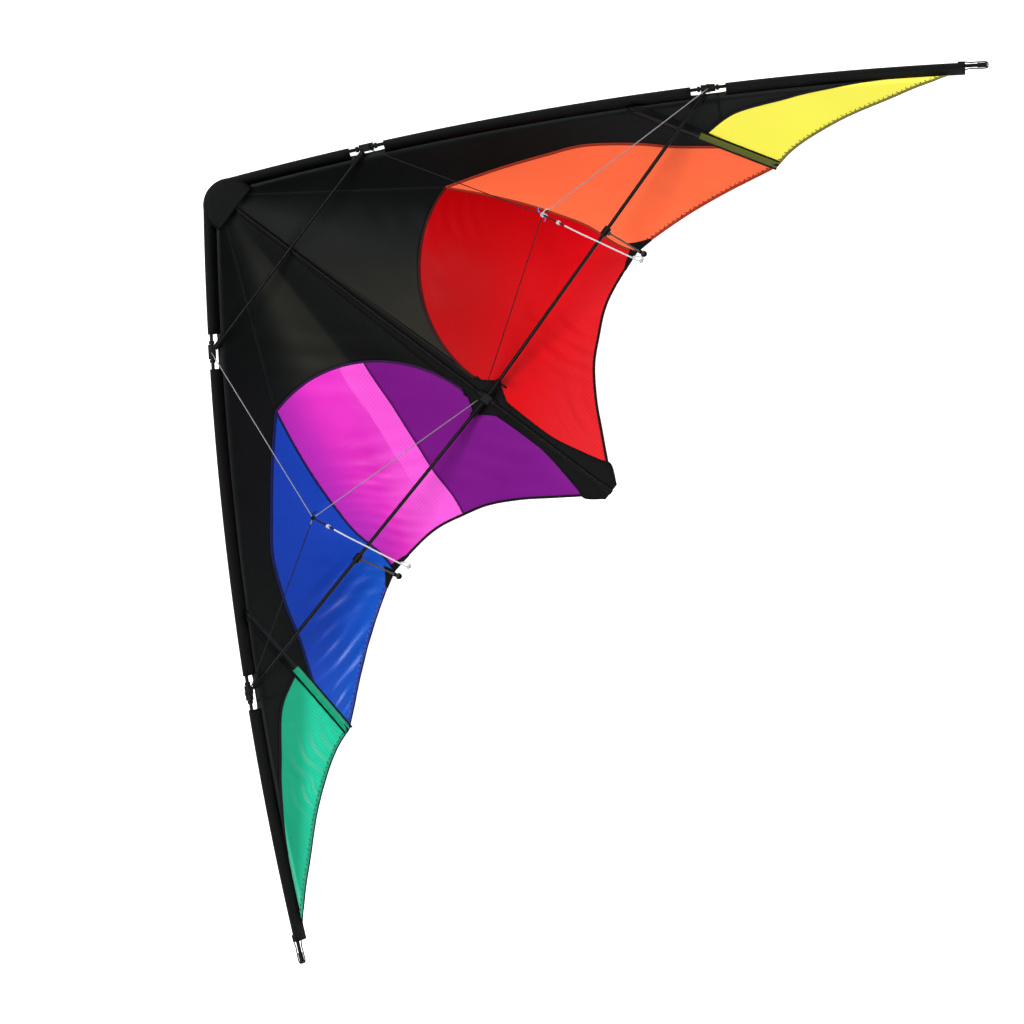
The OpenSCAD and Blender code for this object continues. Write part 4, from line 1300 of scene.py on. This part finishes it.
# --------------------------------------------------------------------------------------- leading edges
@dataclass
class EdgeSleeve:
    """The sewn sleeve round a leading edge, open at both connectors."""

    shop: Workshop
    edge: LeadingEdge
    radius: float = 0.0052
    tail: float = 0.0150
    starts_at: float = 0.004
    window_half: float = 0.029
    wall: float = 0.0007

    def section(self, s: np.ndarray, side: Side) -> np.ndarray:
        """The sleeve's section at each s, a drop shape with its point on the cloth."""
        inward = self.edge.inward(s)
        tail_at = self.edge.point(s, self.tail) * np.array([side.value, 1.0])
        z = self.shop.sail.z(tail_at)
        lean = np.arctan2(z, self.tail)
        reach = np.arccos(self.radius / np.hypot(z, self.tail))
        turn = np.linspace(0, 1, 18)[None]
        angle = (lean + reach)[:, None] + turn * (math.tau - 2 * reach)[:, None]
        across = np.concatenate([self.radius * np.cos(angle), np.full((len(s), 1), self.tail)], axis=1)
        height = np.concatenate([self.radius * np.sin(angle), z[:, None]], axis=1)
        flat = self.edge.point(s)[:, None] + inward[:, None] * across[..., None]
        flat = flat * np.array([side.value, 1.0])
        return np.concatenate([flat, height[..., None]], axis=-1)

    def build(self, side: Side) -> None:
        """Makes one wing's sleeve."""
        edge = self.edge
        stops = [(self.starts_at, edge.upper_at - self.window_half),
                 (edge.upper_at + self.window_half, edge.lower_at - self.window_half),
                 (edge.lower_at + self.window_half, edge.length - edge.bare_tip)]
        parts = []
        for i, (first, last) in enumerate(stops):
            s = np.linspace(first, last, max(12, int((last - first) / 0.012)))
            points = self.section(s, side)
            around = np.linspace(0, 0.05, points.shape[1])
            uv = np.stack(np.broadcast_arrays(s[:, None], around[None]), axis=-1)
            parts.append(self.shop.grid(f"{side.word}_sleeve_{i}", points, SLEEVE, 0.0, uv, wrap=True))
        sleeve = self.shop.join(f"{side.word}_leading_edge_sleeve", parts)
        wall = sleeve.modifiers.new("wall", "SOLIDIFY")
        wall.thickness = self.wall
        wall.offset = 0
        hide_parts(f"{side.word}_edge_sleeve")
        self.shop.fix(sleeve, side)


@dataclass
class NoseCap:
    """The rounded webbing pouch over the nose."""

    shop: Workshop
    stitches: StitchTool
    radius: float = 0.045
    centre_d: float = 0.0245
    rear_d: float = 0.034
    top: float = 0.0073
    bottom: float = -0.0145
    wall: float = 0.0013
    round_power: float = 5.0

    def face(self, upper: bool, rings: int = 26, cols: int = 48) -> np.ndarray:
        """One face of the pouch, from the front rim to its rear edge."""
        x = np.sin(np.linspace(-1, 1, cols + 1) * math.pi / 2) * 0.9765 * self.radius
        front = self.centre_d - np.sqrt(self.radius ** 2 - x ** 2)
        t = np.linspace(0, 1, rings + 1) ** 1.7
        d = front[None] + (self.rear_d - front)[None] * t[:, None]
        xx = np.broadcast_to(x[None], d.shape)
        share = np.clip(np.hypot(xx, d - self.centre_d) / self.radius, 0, 1)
        middle = (self.top + self.bottom) / 2
        half = (self.top - self.bottom) / 2
        bulge = half * (1 - share ** self.round_power) ** (1 / 2.2)
        return np.stack([xx, d, middle + (bulge if upper else -bulge)], axis=-1)

    def build(self) -> None:
        """Makes the pouch and its stitches."""
        faces = np.concatenate([self.face(True)[::-1], self.face(False)[1:]])
        run = np.linspace(0, 0.12, faces.shape[0])
        uv = np.stack(np.broadcast_arrays(run[:, None], faces[0, :, 0][None]), axis=-1)
        cap = self.shop.grid("nose_cap_pouch", faces, WEBBING, self.wall, uv, offset=0)
        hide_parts("nose_cap")
        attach(cap, "frame")
        rows = []
        for inset in (0.005, 0.008):
            angle = np.linspace(-1.45, 1.45, 60)
            r = self.radius - inset
            x, d = r * np.sin(angle), self.centre_d - r * np.cos(angle)
            share = (r / self.radius) ** self.round_power
            z = (self.top + self.bottom) / 2 + (self.top - self.bottom) / 2 * (1
                                                                               - share) ** (1 / 2.2) + 0.0008
            rows.append(np.stack([x, d, np.full_like(x, z)], axis=-1))
        rows.append(np.stack([np.linspace(-0.040, 0.040, 30), np.full(30, self.rear_d - 0.004),
                              np.full(30, self.top + 0.0004)], axis=-1))
        piece = self.stitches.sew(self.shop, "nose_cap_stitches", rows, THREAD_GREY, Pitch=0.0044,
                                  Length=0.0034,
                                  Thickness=0.0007, Slant=0.0)
        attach(piece, "frame")


# -------------------------------------------------------------------------------------------- fittings
@dataclass
class BendingSleeve:
    """A soft vinyl sleeve where a rod turns out of its fitting, made in place without bending."""

    shop: Workshop
    radius: float = 0.00505
    bore: float = 0.00305

    def build(self, node: str, start: np.ndarray, end: np.ndarray, bend: tuple[float, float],
              bodies: tuple[str, str],
              radius: float | None = None, bore: float | None = None) -> None:
        """Makes a sleeve in place of a CAD node.

        Args:
            node: the node that it stands for.
            start: its inner end in kite coordinates.
            end: its outer end.
            bend: where it starts and stops bending, as shares of its length.
            bodies: the bodies at its two ends; not used.
            radius: its outer radius, if not the usual one.
            bore: its bore's radius, if not the usual one.
        """
        outer = radius or self.radius
        inner = bore or self.bore
        axis = (end - start) / np.linalg.norm(end - start)
        a = np.cross(axis, [0.0, 0.0, 1.0])
        b = np.cross(axis, a)
        turn = np.arange(20) * math.tau / 20
        ring = a * np.cos(turn)[:, None] + b * np.sin(turn)[:, None]
        lip = 0.0009
        length = np.linalg.norm(end - start)
        steps = np.concatenate([[0, lip / length], np.linspace(0.06, 0.94, 16), [1 - lip / length, 1]])
        outside = np.full(len(steps), outer)
        outside[[0, -1]] = outer - lip
        profile = [(t, r) for t, r in zip(steps, outside)] + [(t, inner) for t in steps[::-1]]
        points = np.array([start + (end - start) * t + ring * r for t, r in profile + profile[:1]])
        run = np.array([t * length for t, _ in profile + profile[:1]])
        uv = np.stack(np.broadcast_arrays(run[:, None], (turn * outer)[None]), axis=-1)
        piece = self.shop.grid(node + "_vinyl", points, VINYL, 0.0, uv, wrap=True)
        recalculate(piece)
        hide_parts(node)
        low, high = (start + (end - start) * t for t in bend)
        rows = self.shop.axes.row(np.array([low, high]))
        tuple(rows[0])
        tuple(rows[1])
        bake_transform(piece)


def recalculate(piece: bpy.types.Object) -> None:
    """Points a closed piece's faces outwards."""
    tool = bmesh.new()
    tool.from_mesh(piece.data)
    bmesh.ops.recalc_face_normals(tool, faces=tool.faces)
    tool.to_mesh(piece.data)
    tool.free()


@dataclass
class Fittings:
    """The tee's sleeves and peg, and the upper connector's sleeve."""

    shop: Workshop
    edge: LeadingEdge
    tee_d: float = 0.553
    upper_rise: float = 0.010
    sleeve_from: float = 0.008
    sleeve_length: float = 0.030

    def build(self) -> None:
        """Makes the soft sleeves and the peg."""
        sleeve = BendingSleeve(self.shop)
        lower = self.edge.point(np.array(self.edge.lower_at))
        lean = math.atan2(self.tee_d - lower[1], lower[0])
        for side in Side:
            def on_rod(run: float) -> np.ndarray:
                """A point on this side's lower spreader."""
                return np.array([side.value * run * math.cos(lean), self.tee_d - run * math.sin(lean), 0.0])
            sleeve.build(f"{side.word}_tee_sleeve", on_rod(self.sleeve_from),
                         on_rod(self.sleeve_from + self.sleeve_length), (0.05, 0.5),
                         ("frame", f"{side.word}_spreader"))
        upper = self.edge.point(np.array(self.edge.upper_at))
        first = np.array([-(upper[0] - 0.008), upper[1], self.upper_rise])
        last = np.array([-(upper[0] - 0.038), upper[1], self.upper_rise])
        sleeve.build("left_upper_socket", first, last, (0.0, 0.45), ("left_wing", "front_spreader"), 0.00455,
                     0.00255)
        peg = self.shop.tube("tee_peg", np.array([[0.034, self.tee_d + 0.004, 0.002],
                                                  [0.0345, self.tee_d + 0.010, 0.0022],
                                                  [0.035, self.tee_d + 0.017, 0.0024]]),
                             np.array([0.0016, 0.0022, 0.0018]), MOULDED, 10)
        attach(peg, "frame")

    def dress(self, frame: dict) -> None:
        """Gives every CAD node that still shows the finish of its slot."""
        slots = {p["node"]: p["material_slot"] for p in frame["record"]["subparts"]}
        for name, piece in frame["nodes"].items():
            finish = NODE_FINISHES.get(slots.get(name, ""))
            if finish is None:
                continue
            piece.data.materials.clear()
            piece.data.materials.append(finish.material())


# ---------------------------------------------------------------------------------------------- bridle
@dataclass
class Bridle:
    """One side's bridle legs, tow knot and leader."""

    shop: Workshop
    edge: LeadingEdge
    side: Side
    line: float = 0.0016
    leader_line: float = 0.0026
    tow: tuple[float, float, float] = (0.310, 0.439, 0.200)
    tee: tuple[float, float, float] = (0.010, 0.543, 0.00805)
    upper_lift: float = 0.016
    lower_lift: float = 0.0085
    dark_start: float = 0.045
    # The leader's route from the knot; both leaders lean the same way.
    route: tuple[tuple[float, float, float], ...] = (
        (0.0, 0.0, 0.0), (0.007, 0.031, 0.022), (0.014, 0.062, 0.043), (0.022, 0.093, 0.063),
        (0.030, 0.125, 0.085), (0.037, 0.152, 0.103), (0.039, 0.162, 0.109), (0.043, 0.168, 0.116),
        (0.048, 0.168, 0.120), (0.047, 0.162, 0.118), (0.040, 0.154, 0.109))

    def mirrored(self, p: tuple[float, float, float]) -> np.ndarray:
        """A point of the right half on this side."""
        return np.array(p) * np.array([self.side.value, 1.0, 1.0])

    def cord(self, name: str, node: str, path: np.ndarray, width: float,
             pieces: list[bpy.types.Object], finish: Finish = LINE_WHITE) -> bpy.types.Object:
        piece = self.shop.tube(name, path, width / 2, finish, 10)
        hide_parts(node)
        rows = self.shop.axes.row(path)
        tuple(rows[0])
        return piece

    def knot(self) -> bpy.types.Object:
        """Makes the knot at the tow point: two crossed hitches with short tails."""
        tow = self.mirrored(self.tow)
        t = np.linspace(0, 1, 60)
        turns = t * math.tau * 3
        hitch = np.stack([0.0027 * np.cos(turns), 0.0027 * np.sin(turns), (t - 0.5) * 0.0062], axis=1)
        cross = hitch[:, [2, 0, 1]] * np.array([1.1, 0.95, 0.9])
        # On the left the hitches and tag are the white line in painted shade, drawn with the dark braid.
        braid = LINE_DARK if self.side is Side.LEFT else LINE_WHITE
        parts = [self.shop.tube("hitch", tow + hitch, self.line / 2, braid, 8),
                 self.shop.tube("cross hitch", tow + cross, self.line / 2, braid, 8)]
        curl = np.stack([0.012 * t, -0.004 * np.sin(t * 3), 0.004 * t - 0.010 * t ** 2], axis=1)
        tags = [(LINE_DARK, 1.0, 0.0)] if self.side is Side.LEFT else [(LINE_WHITE, 1.2, 0.4),
                                                                       (LINE_BLUE, 1.3, -0.9),
                                                                       (LINE_BLUE, 1.0, 2.4),
                                                                       (LINE_WHITE, 0.9, 1.6)]
        for i, (finish, size, turn) in enumerate(tags):
            spin = np.array(Matrix.Rotation(turn, 3, "Z"))
            parts.append(self.shop.tube(f"tag {i}", tow + (curl[::5] * size) @ spin.T, self.line * 0.55,
                                        finish, 8))
        knot = self.shop.join(f"{self.side.word}_tow_hitch", parts)
        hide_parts(f"{self.side.word}_tow_knot")
        return knot

    def lashings(self) -> None:
        """Wraps the line's ends round the connectors."""
        parts = []
        t = np.linspace(0, 1, 40)
        turns = t * math.tau * 2.5
        for at, lift in ((self.edge.upper_at, 0.0125), (self.edge.lower_at, 0.0)):
            middle = self.edge.point(np.array(at))
            if lift:
                coil = np.stack([middle[0] + 0.0046 * np.cos(turns), middle[1] + 0.0046 * np.sin(turns),
                                 lift - 0.002 + 0.0045 * t], axis=1)
            else:
                inward = self.edge.inward(np.array(at))
                along = np.array([inward[1], -inward[0]])
                flat = (middle + inward * (0.0072 * np.cos(turns))[:, None]
                        + along * ((t - 0.5) * 0.0050)[:, None])
                coil = np.concatenate([flat, (0.0072 * np.sin(turns))[:, None]], axis=1)
            parts.append(self.shop.tube("lashing", coil * np.array([self.side.value, 1, 1]), self.line / 2,
                                        LINE_DARK, 8))
        piece = self.shop.join(f"{self.side.word}_lashings", parts)
        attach(piece, self.side.wing)

    def build(self) -> None:
        """Makes this side's cords."""
        word = self.side.word
        knot = self.knot()
        upper = self.edge.point(np.array(self.edge.upper_at))
        lower = self.edge.point(np.array(self.edge.lower_at))
        tow = self.mirrored(self.tow)
        ends = [self.mirrored((*upper, self.upper_lift)), tow, self.mirrored((*lower, self.lower_lift))]
        t = np.linspace(0, 1, 30)[:, None]
        legs = np.concatenate([ends[0] * (1 - t) + ends[1] * t, (ends[1] * (1 - t) + ends[2] * t)[1:]])
        left = self.side is Side.LEFT
        # Both legs are the white line: the pale braid paints half shade on it and the dark braid full shade,
        # on opposite legs on the two sides.
        first, second = (LINE_HALF_SHADED_WHITE, LINE_DARK) if left else (LINE_DARK, LINE_HALF_SHADED_WHITE)
        outer = self.cord(f"{word}_outer_leg", f"{word}_outer_bridle", legs, self.line, [], first)
        self.shade(outer, second, len(t), len(legs))
        inner_path = self.mirrored(self.tee) * (1 - t) + tow * t
        inner = self.cord(f"{word}_inner_leg", f"{word}_inner_bridle", inner_path, self.line, [knot],
                          LINE_HALF_SHADED_WHITE if left else LINE_DARK)
        path = tow + through(self.route, np.linspace(0, 1, 90))
        leader = self.cord(f"{word}_leader_line", f"{word}_leader", path, self.leader_line,
                           self.leader_knots(path))
        run = np.concatenate([[0], np.cumsum(np.linalg.norm(np.diff(path, axis=0), axis=1))])
        self.shade(leader, LINE_DARK, 0, int(np.searchsorted(run, self.dark_start)))
        for piece in (outer, leader, knot):
            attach(piece, self.side.wing)
        places = self.shop.kite_points(inner)
        gap = tow - self.mirrored(self.tee)
        share = np.clip((places - self.mirrored(self.tee)) @ gap / (gap @ gap), 0, 1)
        self.shop.gather(inner, "frame", self.side.wing, share)
        self.lashings()

    def leader_knots(self, path: np.ndarray) -> list[bpy.types.Object]:
        """Makes the stopper knots on the leader."""
        parts = []
        t = np.linspace(0, 1, 40)
        for at in (8, 62):
            turns = t * math.tau * 2.5
            heading = path[at + 1] - path[at]
            heading /= np.linalg.norm(heading)
            a = np.cross(heading, [1.0, 0.0, 0.0])
            a /= np.linalg.norm(a)
            b = np.cross(heading, a)
            coil = (path[at] + heading * ((t - 0.5) * 0.006)[:, None]
                    + (a * np.cos(turns)[:, None] + b * np.sin(turns)[:, None]) * 0.0024)
            parts.append(self.shop.tube("stopper", coil, 0.0011, LINE_WHITE, 8))
        piece = self.shop.join(f"{self.side.word}_leader_stoppers", parts)
        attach(piece, self.side.wing)
        return [piece]

    @staticmethod
    def shade(piece: bpy.types.Object, finish: Finish, first: int, last: int) -> None:
        """Gives part of a cord a second finish: painted shade on a bridle leg, a dark pigtail on a leader.

        Args:
            piece: the cord.
            finish: the finish of that part.
            first: the place on the path where that part starts.
            last: where it ends.
        """
        piece.data.materials.append(finish.material())
        for face in piece.data.polygons:
            if first <= face.index // 10 < last and len(face.vertices) == 4:
                face.material_index = 1


@dataclass
class TipLashing:
    """The elastic loop that holds the sail to a wing tip."""

    shop: Workshop
    edge: LeadingEdge
    width: float = 0.0022

    def build(self, side: Side) -> None:
        """Makes one tip's loop."""
        end = self.edge.length
        s = np.array([end - 0.046, end - 0.035, end - 0.025, end - 0.014, end + 0.001, end + 0.0035,
                      end + 0.001,
                      end - 0.014, end - 0.025, end - 0.035, end - 0.046])
        off = np.array([0.0066, 0.0063, 0.0049, 0.0053, 0.0050, 0.0, -0.0050, -0.0053, -0.0049, -0.0063,
                        -0.0066])
        flat = self.edge.point(s, off)
        z = np.array([-0.0020, -0.001, 0.0, 0.0, 0.0010, 0.0016, 0.0010, 0.0, 0.0, 0.0, 0.0])
        path = through(np.concatenate([flat, z[:, None]], axis=1), np.linspace(0, 1, 60))
        path = path * np.array([side.value, 1.0, 1.0])
        loop = self.shop.tube(f"{side.word}_tip_elastic", path, self.width / 2, LINE_DARK, 8)
        rows = self.shop.axes.row(path)
        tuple(rows[0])
        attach(loop, side.wing)


# ---------------------------------------------------------------------------------------------- studio
@dataclass
class Studio:
    """A pale floor, soft light and the camera."""

    place: tuple[float, float, float] = (0.9591, 2.9144, 11.7051)
    turn: tuple[float, float, float] = (-13.48, -9.14, -52.35)
    lens: float = 255.16
    sensor: float = 36.0
    floor_half: float = 30.0
    backlight: float = 0.8

    def camera(self) -> None:
        """Makes the camera."""
        data = bpy.data.cameras.new("camera")
        data.lens = self.lens
        data.sensor_width = self.sensor
        data.clip_end = 100
        made = bpy.data.objects.new("camera", data)
        made.location = self.place
        made.rotation_euler = Euler([math.radians(a) for a in self.turn], "XYZ")
        bpy.context.scene.collection.objects.link(made)
        bpy.context.scene.camera = made

    def light(self, name: str, place: tuple[float, float, float], spread: float, strength: float) -> None:
        """Makes a soft light that shines on the kite from far away."""
        data = bpy.data.lights.new(name, "SUN")
        data.angle = math.radians(spread)
        data.energy = strength
        made = bpy.data.objects.new(name, data)
        made.location = place
        made.rotation_euler = Vector(place).to_track_quat("Z", "Y").to_euler()
        bpy.context.scene.collection.objects.link(made)

    def build(self) -> None:
        """Makes the floor, the lights and the surroundings."""
        h = self.floor_half
        data = bpy.data.meshes.new("floor")
        data.from_pydata([(-h, -h, 0), (h, -h, 0), (h, h, 0), (-h, h, 0)], [], [(0, 1, 2, 3)])
        pale = bpy.data.materials.new("pale floor")
        pale.use_nodes = True
        sheet = NodeSheet(pale.node_tree)
        shader = sheet.node("ShaderNodeBsdfDiffuse", Color=(0.93, 0.93, 0.93, 1.0))
        glow = sheet.node("ShaderNodeEmission", Color=(1.0, 1.0, 1.0, 1.0), Strength=self.backlight)
        both = sheet.node("ShaderNodeAddShader", _0=shader.outputs[0], _1=glow.outputs[0])
        sheet.node("ShaderNodeOutputMaterial", Surface=both.outputs[0])
        data.materials.append(pale)
        floor = bpy.data.objects.new("floor", data)
        bpy.context.scene.collection.objects.link(floor)
        world = bpy.data.worlds.new("surroundings")
        world.use_nodes = True
        sky = NodeSheet(world.node_tree)
        dome = sky.node("ShaderNodeBackground", Color=(1.0, 1.0, 1.0, 1.0), Strength=0.14)
        sky.node("ShaderNodeOutputWorld", Surface=dome.outputs[0])
        bpy.context.scene.world = world
        self.light("key", (-1.0, 2.4, 4.2), 20.0, 3.25)
        self.light("fill", (4.2, 0.4, 4.2), 20.0, 1.15)
        bpy.context.scene.view_settings.view_transform = "Standard"


def main() -> None:
    """Builds the kite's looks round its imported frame."""
    logging.basicConfig(level=logging.INFO, format="%(name)s: %(message)s")
    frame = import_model()
    axes = KiteAxes.from_joints(frame["joints"])
    edge = LeadingEdge()
    seams = SeamPlan()
    shop = Workshop(axes, SailShape())
    stitches = StitchTool()
    studio = Studio()
    studio.camera()
    for side in Side:
        Bridle(shop, edge, side).build()
        TipLashing(shop, edge).build(side)
    Sail(shop, seams, edge).build()
    SeamWork(shop, seams, stitches).build(edge)
    for side in Side:
        EdgeSleeve(shop, edge).build(side)
    NoseCap(shop, stitches).build()
    fittings = Fittings(shop, edge)
    fittings.build()
    fittings.dress(frame)
    studio.build()
    LOG.info("%d soft pieces", len(shop.pieces))


if __name__ == "__main__":
    main()
